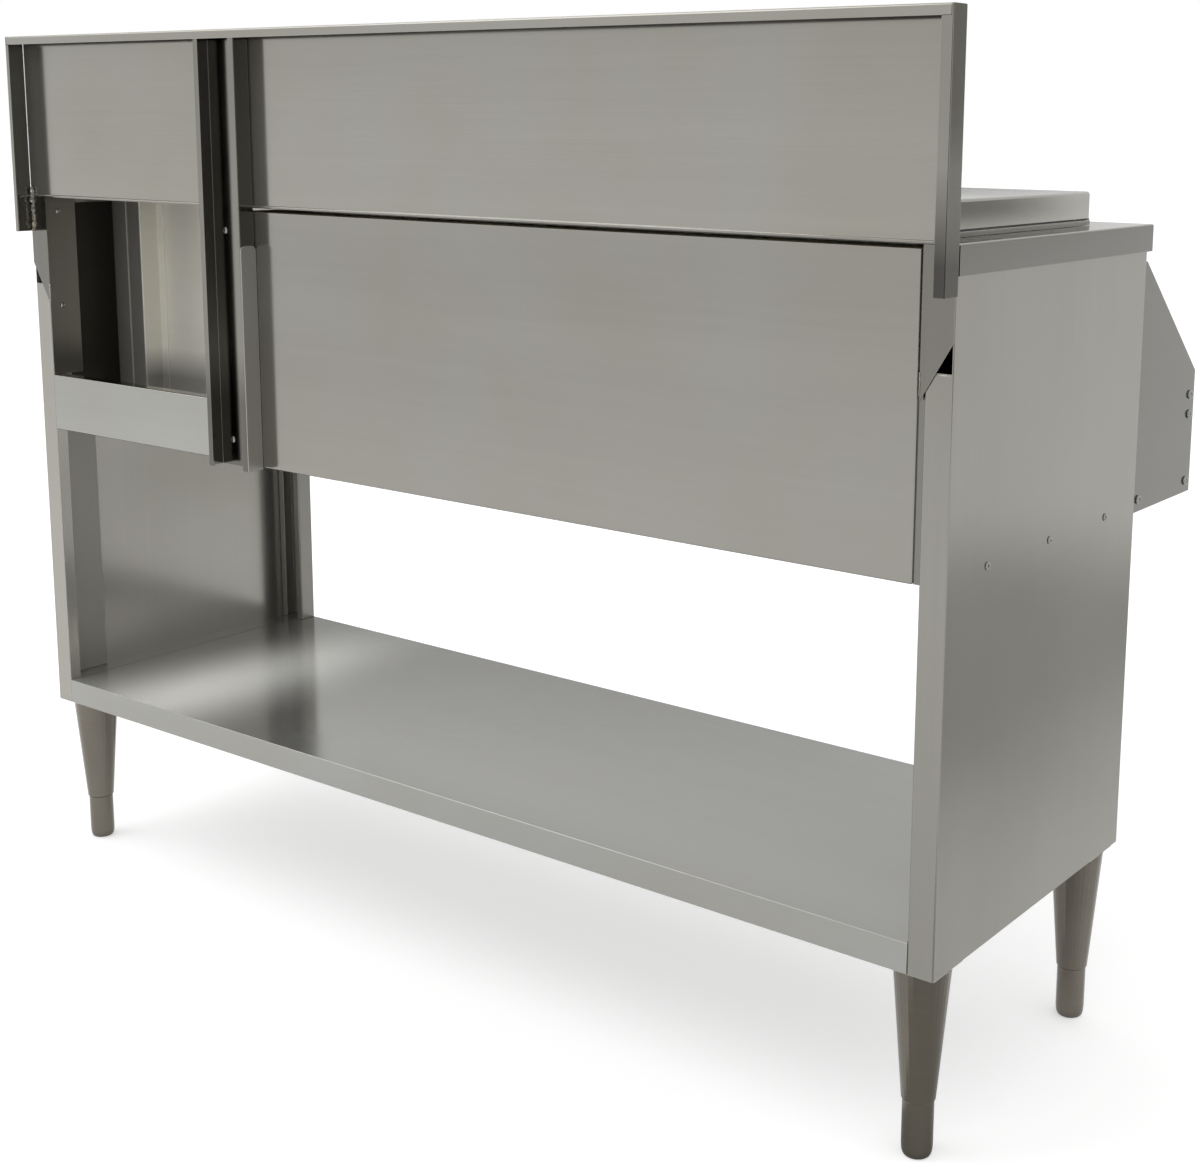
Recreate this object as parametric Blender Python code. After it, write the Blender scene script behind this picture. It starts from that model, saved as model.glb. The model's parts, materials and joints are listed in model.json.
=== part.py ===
# Stainless steel cocktail station: ice bin with sliding lids, bottle well, speed rail and undershelf.
# Metres, +Z up. X is the width, the bartender stands at -Y, the backsplash is at +Y.
# The origin is on the floor, under the middle of the whole station.

import math

import bmesh
import bpy
from mathutils import Matrix, Vector

# Whole station
WIDTH = 1.2192
BODY_DEPTH = 0.375
LEG_HEIGHT = 0.180
CABINET_HEIGHT = 0.612
BACKSPLASH_HEIGHT = 0.180

# Sheet, running gaps and cutters
SHEET = 0.0012
HEAVY_SHEET = 0.0015
GAP = 0.0003
CUT_OVERRUN = 0.004

# Side panels
REAR_FLANGE = 0.0265
REAR_LIP = 0.014
FRONT_FLANGE = 0.028
FLANGE_TOP_DROP = 0.102

# Front posts and apron
POST_WIDTH = 0.040
POST_DEPTH = 0.022
POST_LIP = 0.010
APRON_HEIGHT = 0.250
APRON_FOLD = 0.016

# Rear gussets
GUSSET_OUTER_HEIGHT = 0.076
GUSSET_INNER_HEIGHT = 0.124
GUSSET_WIDTH = 0.0290

# Backsplash
BACKSPLASH_DEPTH = 0.022
BACKSPLASH_HEM = 0.009
BACKSPLASH_FOOT = 0.005
END_DROP = 0.041
LEFT_END_HEM = 0.010
RIGHT_END_HEM = 0.006

# Rear channel post
CHANNEL_WIDTH = 0.064
CHANNEL_LIP = 0.008
CHANNEL_FROM_BIN = 0.029
CHANNEL_FOOT_DROP = 0.002
CHANNEL_SCREW_INSET = 0.014
CHANNEL_SCREW_DROP = 0.026
CHANNEL_SCREW_RISE = 0.028

# Rear cross rail and bay angle
RAIL_HEIGHT = 0.065
RAIL_FOLD = 0.015
RAIL_FOOT_RISE = 0.002
BAY_ANGLE_DEPTH = 0.040
BAY_ANGLE_LEG = 0.012
RIVET_RADIUS = 0.0032
RIVET_HEAD = 0.0014
RIVET_SHANK_RADIUS = 0.0016
RIVET_SHANK = 0.004
RIVET_HOLE_RADIUS = 0.0020
RIVET_FROM_REAR = 0.016
RIVET_DROP = 0.018
RIVET_PITCH = 0.110

# Deck
DECK_EDGE = 0.0254
DECK_OVERHANG = 0.010

# Ice bin
BIN_LEFT = 0.060
BIN_REAR = 0.050
BIN_FRONT = 0.070
BIN_DEPTH = 0.235
BIN_FLANGE = 0.012
JACKET_LEFT = 0.033
JACKET_UNDER_LINER = 0.0395
JACKET_RIM_DROP = 0.004
DRAIN_BORE_RADIUS = 0.0125
DRAIN_TUBE_RADIUS = 0.0165
DRAIN_FLANGE_RADIUS = 0.030
DRAIN_FLANGE = 0.002
DRAIN_TAIL = 0.045
STRAINER_RADIUS = 0.026
STRAINER_DISC = 0.0015
STRAINER_HOLE_RADIUS = 0.0028
STRAINER_RING_RADIUS = 0.0071
STRAINER_SKIRT = 0.008
STRAINER_HOLES = 6

# Bin rim and sliding lids
RIM_HEIGHT = 0.0045
RIM_END_MARGIN = 0.024
RIM_EDGE_MARGIN = 0.014
LID_HEIGHT = 0.0245
LID_OVERLAP = 0.030
LID_PLAY = 0.0015
LID_SIDE_PLAY = 0.0085
GLIDE_HEIGHT = 0.0012
GLIDE_WIDTH = 0.0018
HANDLE_LENGTH = 0.110
HANDLE_RISE = 0.022
HANDLE_ROD_RADIUS = 0.004
HANDLE_CORNER = 0.010
HANDLE_INSET = 0.030
PULL_LENGTH = 0.160
PULL_REACH = 0.016
PULL_HEIGHT = 0.016
PULL_RISE = 0.004

# Bottle well
WELL_FROM_BIN = 0.135
WELL_LENGTH = 0.235
WELL_RIGHT = 0.0542
WELL_REAR = 0.137
WELL_FRONT = 0.043
WELL_DEPTH = 0.250
WELL_FLANGE = 0.010
WELL_BRACKET_DEPTH = 0.026
WELL_BRACKET_LEG = 0.012
WELL_BRACKET_DROP = 0.004

# Undershelf
SHELF_EDGE = 0.028
SHELF_HEM = 0.012
STIFFENER_WIDTH = 0.060
STIFFENER_DEPTH = 0.020
STIFFENER_FLANGE = 0.018

# Legs
LEG_INSET_X = 0.0290
LEG_INSET_Y = 0.0320
LEG_PLATE = 0.003
LEG_PLATE_SIDE = 0.050
LEG_TOP_RADIUS = 0.0255
LEG_FOOT_RADIUS = 0.0152
LEG_CONE = 0.1225
LEG_BORE_SPARE = 0.015
FOOT_RADIUS = 0.0140
FOOT_STEM_RADIUS = 0.0115
FOOT_PLAY = 0.0005
FOOT_TIP_RADIUS = 0.0100
FOOT_TIP = 0.009
FOOT_SHOULDER = 0.003
FOOT_TRAVEL = 0.025
FOOT_ENGAGED = 0.030
ROUND_SIDES = 32
SHARP_ANGLE = math.radians(40)

# Speed rail
RAIL_DEPTH = 0.145
TROUGH_FLOOR_DROP = 0.272
TROUGH_FRONT = 0.105
TROUGH_BACK = 0.205
TROUGH_HEM = 0.012
TROUGH_FRONT_LEAN = 0.004
BRACKET_REAR_HEIGHT = 0.243
BRACKET_FRONT_HEIGHT = 0.125
BRACKET_REAR_REACH = 0.006
BRACKET_FOOT_DROP = 0.006
BRACKET_INSET = 0.0032

# Screws
SCREW_HEAD_RADIUS = 0.0046
SCREW_HEAD = 0.0026
SCREW_SHANK_RADIUS = 0.0022
SCREW_SHANK = 0.007
SCREW_HOLE_RADIUS = 0.0026
SCREW_SIDES = 16
SMALL_HEAD_RADIUS = 0.0036
SMALL_HEAD = 0.0012
SIDE_SCREW_RISE = 0.007
SIDE_SCREW_REAR = 0.070
SIDE_SCREW_FRONT = 0.069
SIDE_SCREWS = 3
CORNER_SCREW_INSET = 0.012
PAIR_SCREW_PITCH = 0.020

# Places that follow from the sizes above
LEFT = -WIDTH / 2
RIGHT = WIDTH / 2
REAR = (BODY_DEPTH + RAIL_DEPTH - BACKSPLASH_DEPTH) / 2
FRONT = REAR - BODY_DEPTH
BASE = LEG_HEIGHT
DECK = BASE + CABINET_HEIGHT
TOP = DECK + BACKSPLASH_HEIGHT
UNDER_DECK = DECK - SHEET - GAP
PANEL_OUTER = SHEET + GAP
WELL_X = (RIGHT - WELL_RIGHT - WELL_LENGTH, RIGHT - WELL_RIGHT)
WELL_Y = (FRONT + WELL_FRONT, REAR - WELL_REAR)
BIN_X = (LEFT + BIN_LEFT, WELL_X[0] - WELL_FROM_BIN)
BIN_Y = (FRONT + BIN_FRONT, REAR - BIN_REAR)
CHANNEL_LEFT = BIN_X[1] + CHANNEL_FROM_BIN
CHANNEL_RIGHT = CHANNEL_LEFT + CHANNEL_WIDTH
CHANNEL_MIDDLE = (CHANNEL_LEFT + CHANNEL_RIGHT) / 2
LINER_FLOOR = UNDER_DECK - BIN_DEPTH
JACKET_X = (LEFT + JACKET_LEFT, CHANNEL_MIDDLE - GAP / 2)
JACKET_Y = (FRONT + SHEET + GAP + POST_DEPTH + GAP, REAR)
JACKET_Z = (LINER_FLOOR - JACKET_UNDER_LINER, UNDER_DECK - JACKET_RIM_DROP)
CHANNEL_FOOT = JACKET_Z[0] - CHANNEL_FOOT_DROP
RAIL_FOOT = JACKET_Z[0] + RAIL_FOOT_RISE
TROUGH_FLOOR = DECK - TROUGH_FLOOR_DROP
BRACKET_FOOT = TROUGH_FLOOR - BRACKET_FOOT_DROP


def clear_scene():
    """Removes the objects that a new file starts with."""
    for old in list(bpy.data.objects):
        bpy.data.objects.remove(old, do_unlink=True)


def material(name, colour, roughness, metallic):
    """A Principled BSDF with one colour, roughness and metallic value."""
    made = bpy.data.materials.new(name)
    made.use_nodes = True
    shader = made.node_tree.nodes["Principled BSDF"]
    shader.inputs["Base Color"].default_value = (*colour, 1)
    shader.inputs["Roughness"].default_value = roughness
    shader.inputs["Metallic"].default_value = metallic
    return made


# Mesh helpers

BOX_FACES = ((0, 2, 3, 1), (4, 5, 7, 6), (0, 1, 5, 4), (2, 6, 7, 3), (0, 4, 6, 2), (1, 3, 7, 5))


def place(name, mesh, finish, origin, turned=False):
    """An object whose own origin is the given world point, from a mesh made in world space."""
    bmesh.ops.translate(mesh, verts=mesh.verts, vec=-Vector(origin))
    bmesh.ops.recalc_face_normals(mesh, faces=mesh.faces)
    data = bpy.data.meshes.new(name)
    mesh.to_mesh(data)
    mesh.free()
    if turned:
        data.shade_smooth()
        data.set_sharp_from_angle(angle=SHARP_ANGLE)
    data.materials.append(finish)
    made = bpy.data.objects.new(name, data)
    made.location = origin
    made.parent = STATION
    bpy.context.scene.collection.objects.link(made)
    return made


def add_box(mesh, xs, ys, zs):
    """Adds a closed box between two values on each axis."""
    corners = [
        mesh.verts.new((x, y, z))
        for z in (min(zs), max(zs))
        for y in (min(ys), max(ys))
        for x in (min(xs), max(xs))
    ]
    for face in BOX_FACES:
        mesh.faces.new([corners[index] for index in face])


def add_prism(mesh, outline, axis, ends):
    """Adds a flat outline drawn out along X, Y or Z between two values."""
    def point(pair, along):
        if axis == "X":
            return (along, pair[0], pair[1])
        if axis == "Y":
            return (pair[0], along, pair[1])
        return (pair[0], pair[1], along)

    loops = [[mesh.verts.new(point(pair, along)) for pair in outline] for along in ends]
    mesh.faces.new(loops[0])
    mesh.faces.new(list(reversed(loops[1])))
    count = len(outline)
    for index in range(count):
        after = (index + 1) % count
        mesh.faces.new((loops[0][index], loops[1][index], loops[1][after], loops[0][after]))


def add_rectangle_loft(mesh, loops):
    """Adds a closed body through rectangles (xs, ys, z), joined in order and capped at both ends."""
    rings = [
        [
            mesh.verts.new((x, y, z))
            for x, y in ((xs[0], ys[0]), (xs[1], ys[0]), (xs[1], ys[1]), (xs[0], ys[1]))
        ]
        for xs, ys, z in loops
    ]
    mesh.faces.new(rings[0])
    mesh.faces.new(list(reversed(rings[-1])))
    for low, high in zip(rings, rings[1:]):
        for index in range(4):
            after = (index + 1) % 4
            mesh.faces.new((low[index], high[index], high[after], low[after]))


def add_turned(mesh, profile, centre, sides, axis="Z"):
    """Adds a body turned about an axis through centre; the profile holds (radius, height) pairs."""
    turn = {
        "Z": Matrix.Identity(3),
        "X": Matrix.Rotation(math.pi / 2, 3, "Y"),
        "-X": Matrix.Rotation(-math.pi / 2, 3, "Y"),
        "Y": Matrix.Rotation(-math.pi / 2, 3, "X"),
    }[axis]
    middle = Vector(centre)
    rings = []
    for radius, height in profile:
        if radius == 0:
            rings.append([mesh.verts.new(middle + turn @ Vector((0, 0, height)))])
            continue
        ring = []
        for step in range(sides):
            angle = math.tau * step / sides
            spot = Vector((radius * math.cos(angle), radius * math.sin(angle), height))
            ring.append(mesh.verts.new(middle + turn @ spot))
        rings.append(ring)
    for low, high in zip(rings, rings[1:]):
        for step in range(sides):
            after = (step + 1) % sides
            corners = [low[step % len(low)], low[after % len(low)]]
            corners += [high[after % len(high)], high[step % len(high)]]
            mesh.faces.new(list(dict.fromkeys(corners)))


def folded(path, thickness):
    """The closed outline of a folded sheet: one face on the path, the other a thickness to its left."""
    points = [Vector(pair) for pair in path]
    normals = []
    for start, end in zip(points, points[1:]):
        run = (end - start).normalized()
        normals.append(Vector((-run.y, run.x)))
    other = [points[0] + normals[0] * thickness]
    for index in range(1, len(points) - 1):
        before, after = normals[index - 1], normals[index]
        mitre = (before + after) / (1 + before.dot(after))
        other.append(points[index] + mitre * thickness)
    other.append(points[-1] + normals[-1] * thickness)
    return [tuple(point) for point in points] + [tuple(point) for point in reversed(other)]


def cut(target, name, mesh):
    """Cuts a closed mesh, made in world space, out of an object."""
    bmesh.ops.recalc_face_normals(mesh, faces=mesh.faces)
    data = bpy.data.meshes.new(name)
    mesh.to_mesh(data)
    mesh.free()
    cutter = bpy.data.objects.new(name, data)
    cutter.hide_render = True
    cutter.display_type = "WIRE"
    bpy.context.scene.collection.objects.link(cutter)
    step = target.modifiers.new(name, "BOOLEAN")
    step.operation = "DIFFERENCE"
    step.solver = "EXACT"
    step.object = cutter


def cut_round_holes(target, name, spots, radius, length, axis, sides=SCREW_SIDES):
    """Cuts round holes that are centred on the given points and run along an axis."""
    mesh = bmesh.new()
    for spot in spots:
        profile = ((0, -length / 2), (radius, -length / 2), (radius, length / 2), (0, length / 2))
        add_turned(mesh, profile, spot, sides, axis)
    cut(target, name, mesh)


def screw(name, spot, axis, head_radius, head, shank_radius, shank, finish):
    """A pan head screw or rivet: the point is under its head and the axis points out of the head."""
    crown_share = 0.62
    shoulder_share = 0.45
    mesh = bmesh.new()
    profile = (
        (0, -shank),
        (shank_radius, -shank),
        (shank_radius, 0),
        (head_radius, 0),
        (head_radius, head * shoulder_share),
        (head_radius * crown_share, head),
        (0, head),
    )
    add_turned(mesh, profile, spot, SCREW_SIDES, axis)
    return place(name, mesh, finish, spot, turned=True)


# Side panels, posts and front apron

def panel_outline(side):
    """Plan of a side panel: outer wall, rear and front flanges and the rear lip."""
    def x(inset):
        return side * (WIDTH / 2 - inset)

    path = [
        (x(REAR_FLANGE), REAR - REAR_LIP),
        (x(REAR_FLANGE), REAR),
        (x(PANEL_OUTER), REAR),
        (x(PANEL_OUTER), FRONT),
        (x(FRONT_FLANGE), FRONT),
    ]
    if side > 0:
        path.reverse()
    return folded(path, SHEET)


def side_panel(name, side, finish):
    """A side panel, its rear flange stopped short under the gusset."""
    mesh = bmesh.new()
    add_prism(mesh, panel_outline(side), "Z", (BASE, UNDER_DECK))
    panel = place(name, mesh, finish, (side * (WIDTH / 2), REAR, BASE))
    notch = bmesh.new()
    inner = side * (WIDTH / 2 - REAR_FLANGE - CUT_OVERRUN)
    outer = side * (WIDTH / 2 - PANEL_OUTER - SHEET)
    depths = (REAR - REAR_LIP - CUT_OVERRUN, REAR + CUT_OVERRUN)
    add_box(notch, (inner, outer), depths, (DECK - FLANGE_TOP_DROP, TOP))
    cut(panel, name + "_notch", notch)
    return panel


def front_post(name, side, finish):
    """A lipped channel behind the front flange of a side panel, between the shelf and the deck."""
    outer = WIDTH / 2 - PANEL_OUTER - SHEET - GAP
    front = FRONT + SHEET + GAP
    path = [
        (side * (outer - POST_WIDTH + POST_LIP), front + POST_DEPTH),
        (side * (outer - POST_WIDTH), front + POST_DEPTH),
        (side * (outer - POST_WIDTH), front),
        (side * outer, front),
        (side * outer, front + POST_DEPTH),
        (side * (outer - POST_LIP), front + POST_DEPTH),
    ]
    if side < 0:
        path.reverse()
    mesh = bmesh.new()
    add_prism(mesh, folded(path, SHEET), "Z", (BASE + SHELF_EDGE + GAP, UNDER_DECK))
    return place(name, mesh, finish, (side * outer, front, BASE + SHELF_EDGE + GAP))


def front_apron(finish):
    """The front sheet between the side panels' flanges, folded back at its foot and head."""
    top = DECK - SHEET - 2 * GAP - HEAVY_SHEET
    foot = top - APRON_HEIGHT
    half = WIDTH / 2 - FRONT_FLANGE - GAP
    path = [(FRONT + APRON_FOLD, top), (FRONT, top), (FRONT, foot), (FRONT + APRON_FOLD, foot)]
    mesh = bmesh.new()
    add_prism(mesh, folded(path, SHEET), "X", (-half, half))
    apron = place("front_apron", mesh, finish, (0, FRONT, foot))
    between_posts = WIDTH / 2 - PANEL_OUTER - SHEET - 2 * GAP - POST_WIDTH
    notch = bmesh.new()
    for side in (-1, 1):
        ends = (side * between_posts, side * (half + CUT_OVERRUN))
        depths = (FRONT + SHEET, FRONT + APRON_FOLD + CUT_OVERRUN)
        add_box(notch, ends, depths, (foot - CUT_OVERRUN, top + CUT_OVERRUN))
    cut(apron, "apron_notches", notch)
    return apron


# Rear structure

def gusset(name, side, finish):
    """A four-sided plate over the gap above the side panel's rear flange, with a slanted foot."""
    outer = WIDTH / 2 - PANEL_OUTER
    inner = outer - GUSSET_WIDTH
    top = UNDER_DECK
    outline = [
        (side * outer, top),
        (side * inner, top),
        (side * inner, top - GUSSET_INNER_HEIGHT),
        (side * outer, top - GUSSET_OUTER_HEIGHT),
    ]
    mesh = bmesh.new()
    add_prism(mesh, outline, "Y", (REAR + GAP, REAR + GAP + SHEET))
    return place(name, mesh, finish, (side * outer, REAR + GAP, top))


def channel_post(finish):
    """The lipped channel that runs from the backsplash head down over the bin jacket."""
    web = REAR + GAP
    reach = REAR + BACKSPLASH_DEPTH - HEAVY_SHEET - GAP
    path = [
        (CHANNEL_LEFT + CHANNEL_LIP, reach),
        (CHANNEL_LEFT, reach),
        (CHANNEL_LEFT, web),
        (CHANNEL_RIGHT, web),
        (CHANNEL_RIGHT, reach),
        (CHANNEL_RIGHT - CHANNEL_LIP, reach),
    ]
    mesh = bmesh.new()
    top = TOP - HEAVY_SHEET - GAP
    add_prism(mesh, folded(path, HEAVY_SHEET), "Z", (CHANNEL_FOOT, top))
    post = place("rear_channel_post", mesh, finish, (CHANNEL_MIDDLE, REAR, CHANNEL_FOOT))
    cut_round_holes(post, "channel_holes", channel_screw_spots(), SCREW_HOLE_RADIUS, CUT_OVERRUN, "Y")
    return post


def channel_screw_spots():
    """Where the channel is screwed to the bin jacket, on the jacket's rear face."""
    x = CHANNEL_LEFT + CHANNEL_SCREW_INSET
    return [
        (x, REAR, DECK - CHANNEL_SCREW_DROP),
        (x, REAR, CHANNEL_FOOT + CHANNEL_SCREW_RISE),
    ]


def cross_rail(finish):
    """The rear rail under the bottle bay, folded forward at its head and foot."""
    head = RAIL_FOOT + RAIL_HEIGHT
    path = [(REAR - RAIL_FOLD, RAIL_FOOT), (REAR, RAIL_FOOT), (REAR, head), (REAR - RAIL_FOLD, head)]
    ends = (CHANNEL_MIDDLE + GAP / 2, RIGHT - REAR_FLANGE - GAP)
    mesh = bmesh.new()
    add_prism(mesh, folded(path, SHEET), "X", ends)
    return place("rear_cross_rail", mesh, finish, (ends[0], REAR, RAIL_FOOT))


def bay_angle_face():
    """The X of the bay angle's face, against the lip of the right side panel."""
    return RIGHT - REAR_FLANGE - GAP


def bay_angle(finish):
    """The upright angle at the right of the bottle bay, riveted through its wide leg."""
    face = bay_angle_face()
    foot = RAIL_FOOT + RAIL_HEIGHT + GAP
    path = [
        (face - SHEET, REAR),
        (face - SHEET, REAR - BAY_ANGLE_DEPTH),
        (face - SHEET + BAY_ANGLE_LEG, REAR - BAY_ANGLE_DEPTH),
    ]
    mesh = bmesh.new()
    add_prism(mesh, folded(path, SHEET), "Z", (foot, UNDER_DECK))
    angle = place("bay_side_angle", mesh, finish, (face, REAR, foot))
    cut_round_holes(angle, "rivet_holes", rivet_spots(), RIVET_HOLE_RADIUS, CUT_OVERRUN, "X")
    return angle


def rivet_spots():
    """The rivets' places on the bay angle's face."""
    x = bay_angle_face() - SHEET
    first = DECK - RIVET_DROP
    return [(x, REAR - RIVET_FROM_REAR, first - step * RIVET_PITCH) for step in range(2)]


# Backsplash

def backsplash(finish):
    """The recessed sheet with its head turned back and down and its foot turned back."""
    back = REAR + BACKSPLASH_DEPTH
    path = [
        (REAR - GAP - SHEET + BACKSPLASH_FOOT, DECK + GAP),
        (REAR - GAP - SHEET, DECK + GAP),
        (REAR - GAP - SHEET, TOP),
        (back, TOP),
        (back, TOP - BACKSPLASH_HEM),
    ]
    path.reverse()
    half = WIDTH / 2 - SHEET - GAP
    mesh = bmesh.new()
    add_prism(mesh, folded(path, SHEET), "X", (-half, half))
    made = place("backsplash", mesh, finish, (0, REAR, DECK))
    notch = bmesh.new()
    ends = (CHANNEL_LEFT - GAP, CHANNEL_RIGHT + GAP)
    heights = (DECK - CUT_OVERRUN, DECK + GAP + SHEET + CUT_OVERRUN)
    add_box(notch, ends, (REAR - GAP, REAR + BACKSPLASH_FOOT + CUT_OVERRUN), heights)
    cut(made, "backsplash_foot_notch", notch)
    return made


def backsplash_end(name, side, hem, finish):
    """The end wall of the backsplash with its rear hem, which hangs below the deck."""
    outer = side * (WIDTH / 2)
    back = REAR + BACKSPLASH_DEPTH
    path = [
        (outer, REAR + GAP),
        (outer, back),
        (outer - side * hem, back),
    ]
    if side < 0:
        path.reverse()
    mesh = bmesh.new()
    add_prism(mesh, folded(path, SHEET), "Z", (DECK - END_DROP, TOP))
    made = place(name, mesh, finish, (outer, REAR, DECK - END_DROP))
    notch = bmesh.new()
    ends = (outer - side * SHEET, outer - side * (hem + CUT_OVERRUN))
    depths = (back - SHEET - CUT_OVERRUN, back + CUT_OVERRUN)
    add_box(notch, ends, depths, (TOP - BACKSPLASH_HEM - GAP, TOP + CUT_OVERRUN))
    cut(made, name + "_hem_notch", notch)
    return made


# Deck

def deck(finish):
    """The worktop sheet, turned down at the front and both sides, with the bin and well openings."""
    mesh = bmesh.new()
    front = FRONT - DECK_OVERHANG
    rear = REAR - SHEET - 2 * GAP
    add_box(mesh, (LEFT, RIGHT), (front, rear), (DECK - DECK_EDGE, DECK))
    made = place("deck", mesh, finish, (0, FRONT, DECK))
    under = bmesh.new()
    add_box(
        under,
        (LEFT + SHEET, RIGHT - SHEET),
        (front + SHEET, rear + CUT_OVERRUN),
        (DECK - DECK_EDGE - CUT_OVERRUN, DECK - SHEET),
    )
    cut(made, "deck_underside", under)
    openings = bmesh.new()
    heights = (DECK - SHEET - CUT_OVERRUN, DECK + CUT_OVERRUN)
    add_box(openings, BIN_X, BIN_Y, heights)
    add_box(openings, WELL_X, WELL_Y, heights)
    cut(made, "deck_openings", openings)
    return made


def grown(pair, amount):
    """A pair of places moved apart by an amount at each end."""
    return (pair[0] - amount, pair[1] + amount)


def tray(name, xs, ys, floor, rim, flange, finish):
    """An open sheet box whose inside is xs by ys, with a flange turned out at its rim."""
    outer_xs, outer_ys = grown(xs, SHEET), grown(ys, SHEET)
    flange_xs, flange_ys = grown(xs, flange), grown(ys, flange)
    mesh = bmesh.new()
    add_rectangle_loft(
        mesh,
        [
            (xs, ys, floor + SHEET),
            (xs, ys, rim),
            (flange_xs, flange_ys, rim),
            (flange_xs, flange_ys, rim - SHEET),
            (outer_xs, outer_ys, rim - SHEET),
            (outer_xs, outer_ys, floor),
        ],
    )
    return place(name, mesh, finish, (sum(xs) / 2, sum(ys) / 2, floor))


# Ice bin

def drain_centre(height):
    """The drain's axis in the middle of the bin floor, at a height."""
    return (sum(BIN_X) / 2, sum(BIN_Y) / 2, height)


def ice_bin(steel, foam):
    """The liner, the foam round it and the outer jacket, each bored for the drain."""
    liner = tray("ice_bin_liner", BIN_X, BIN_Y, LINER_FLOOR, UNDER_DECK, BIN_FLANGE, steel)
    jacket_inner_x = (JACKET_X[0] + SHEET, JACKET_X[1] - SHEET)
    jacket_inner_y = (JACKET_Y[0] + SHEET, JACKET_Y[1] - SHEET)
    mesh = bmesh.new()
    add_rectangle_loft(
        mesh,
        [
            (jacket_inner_x, jacket_inner_y, JACKET_Z[0] + SHEET),
            (jacket_inner_x, jacket_inner_y, JACKET_Z[1]),
            (JACKET_X, JACKET_Y, JACKET_Z[1]),
            (JACKET_X, JACKET_Y, JACKET_Z[0]),
        ],
    )
    jacket = place("bin_jacket", mesh, steel, (sum(JACKET_X) / 2, REAR, JACKET_Z[0]))
    foam_xs, foam_ys = grown(jacket_inner_x, -GAP), grown(jacket_inner_y, -GAP)
    hollow_xs, hollow_ys = grown(BIN_X, SHEET + GAP), grown(BIN_Y, SHEET + GAP)
    mesh = bmesh.new()
    add_rectangle_loft(
        mesh,
        [
            (hollow_xs, hollow_ys, LINER_FLOOR - GAP),
            (hollow_xs, hollow_ys, JACKET_Z[1] - GAP),
            (foam_xs, foam_ys, JACKET_Z[1] - GAP),
            (foam_xs, foam_ys, JACKET_Z[0] + SHEET + GAP),
        ],
    )
    core = place("bin_insulation", mesh, foam, (sum(JACKET_X) / 2, REAR, JACKET_Z[0]))
    depth = LINER_FLOOR - JACKET_Z[0] + 2 * CUT_OVERRUN
    for shell in (liner, jacket, core):
        middle = drain_centre((LINER_FLOOR + JACKET_Z[0]) / 2)
        bore = DRAIN_TUBE_RADIUS + GAP
        cut_round_holes(shell, shell.name + "_drain_bore", [middle], bore, depth, "Z", ROUND_SIDES)
    holes = channel_screw_spots()
    cut_round_holes(jacket, "jacket_channel_holes", holes, SCREW_HOLE_RADIUS, 2 * SCREW_SHANK + GAP, "Y")
    cut_round_holes(core, "core_channel_holes", holes, SCREW_HOLE_RADIUS, 2 * SCREW_SHANK + GAP, "Y")
    return liner, jacket, core


def drain(finish):
    """The flanged drain tail that is welded through the bin floor."""
    seat = LINER_FLOOR + SHEET + GAP
    foot = JACKET_Z[0] - DRAIN_TAIL
    mesh = bmesh.new()
    profile = (
        (DRAIN_BORE_RADIUS, foot),
        (DRAIN_TUBE_RADIUS, foot),
        (DRAIN_TUBE_RADIUS, seat),
        (DRAIN_FLANGE_RADIUS, seat),
        (DRAIN_FLANGE_RADIUS, seat + DRAIN_FLANGE),
        (DRAIN_BORE_RADIUS, seat + DRAIN_FLANGE),
        (DRAIN_BORE_RADIUS, foot),
    )
    add_turned(mesh, profile, drain_centre(0), ROUND_SIDES)
    bmesh.ops.remove_doubles(mesh, verts=mesh.verts, dist=GAP / 10)
    place("drain_fitting", mesh, finish, drain_centre(foot), turned=True)


def strainer(finish):
    """The lift-out strainer disc that covers the drain, with a locating skirt and round holes."""
    seat = LINER_FLOOR + SHEET + GAP + DRAIN_FLANGE + GAP
    skirt = DRAIN_BORE_RADIUS - GAP
    mesh = bmesh.new()
    profile = (
        (0, seat),
        (skirt - STRAINER_DISC, seat),
        (skirt - STRAINER_DISC, seat - STRAINER_SKIRT),
        (skirt, seat - STRAINER_SKIRT),
        (skirt, seat),
        (STRAINER_RADIUS, seat),
        (STRAINER_RADIUS, seat + STRAINER_DISC),
        (0, seat + STRAINER_DISC),
    )
    add_turned(mesh, profile, drain_centre(0), ROUND_SIDES)
    disc = place("drain_strainer", mesh, finish, drain_centre(seat), turned=True)
    x, y, z = drain_centre(seat + STRAINER_DISC / 2)
    spots = []
    for step in range(STRAINER_HOLES):
        angle = math.tau * step / STRAINER_HOLES
        across, along = math.cos(angle), math.sin(angle)
        spots.append((x + STRAINER_RING_RADIUS * across, y + STRAINER_RING_RADIUS * along, z))
    length = STRAINER_DISC + CUT_OVERRUN
    cut_round_holes(disc, "strainer_holes", spots, STRAINER_HOLE_RADIUS, length, "Z")


# Bin rim and sliding lids

RIM_X = grown(BIN_X, RIM_END_MARGIN)
RIM_Y = grown(BIN_Y, RIM_EDGE_MARGIN)
RIM_TOP = DECK + GAP + RIM_HEIGHT
LID_FOOT = RIM_TOP + GAP + GLIDE_HEIGHT + GAP
LID_TOP = LID_FOOT + LID_HEIGHT
LID_JOIN = sum(RIM_X) / 2
UPPER_LID_X = (RIM_X[0], LID_JOIN + LID_OVERLAP / 2)
LOWER_LID_X = (LID_JOIN - LID_OVERLAP / 2, RIM_X[1])
LOWER_LID_Y = grown(RIM_Y, -SHEET - LID_SIDE_PLAY)


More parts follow.
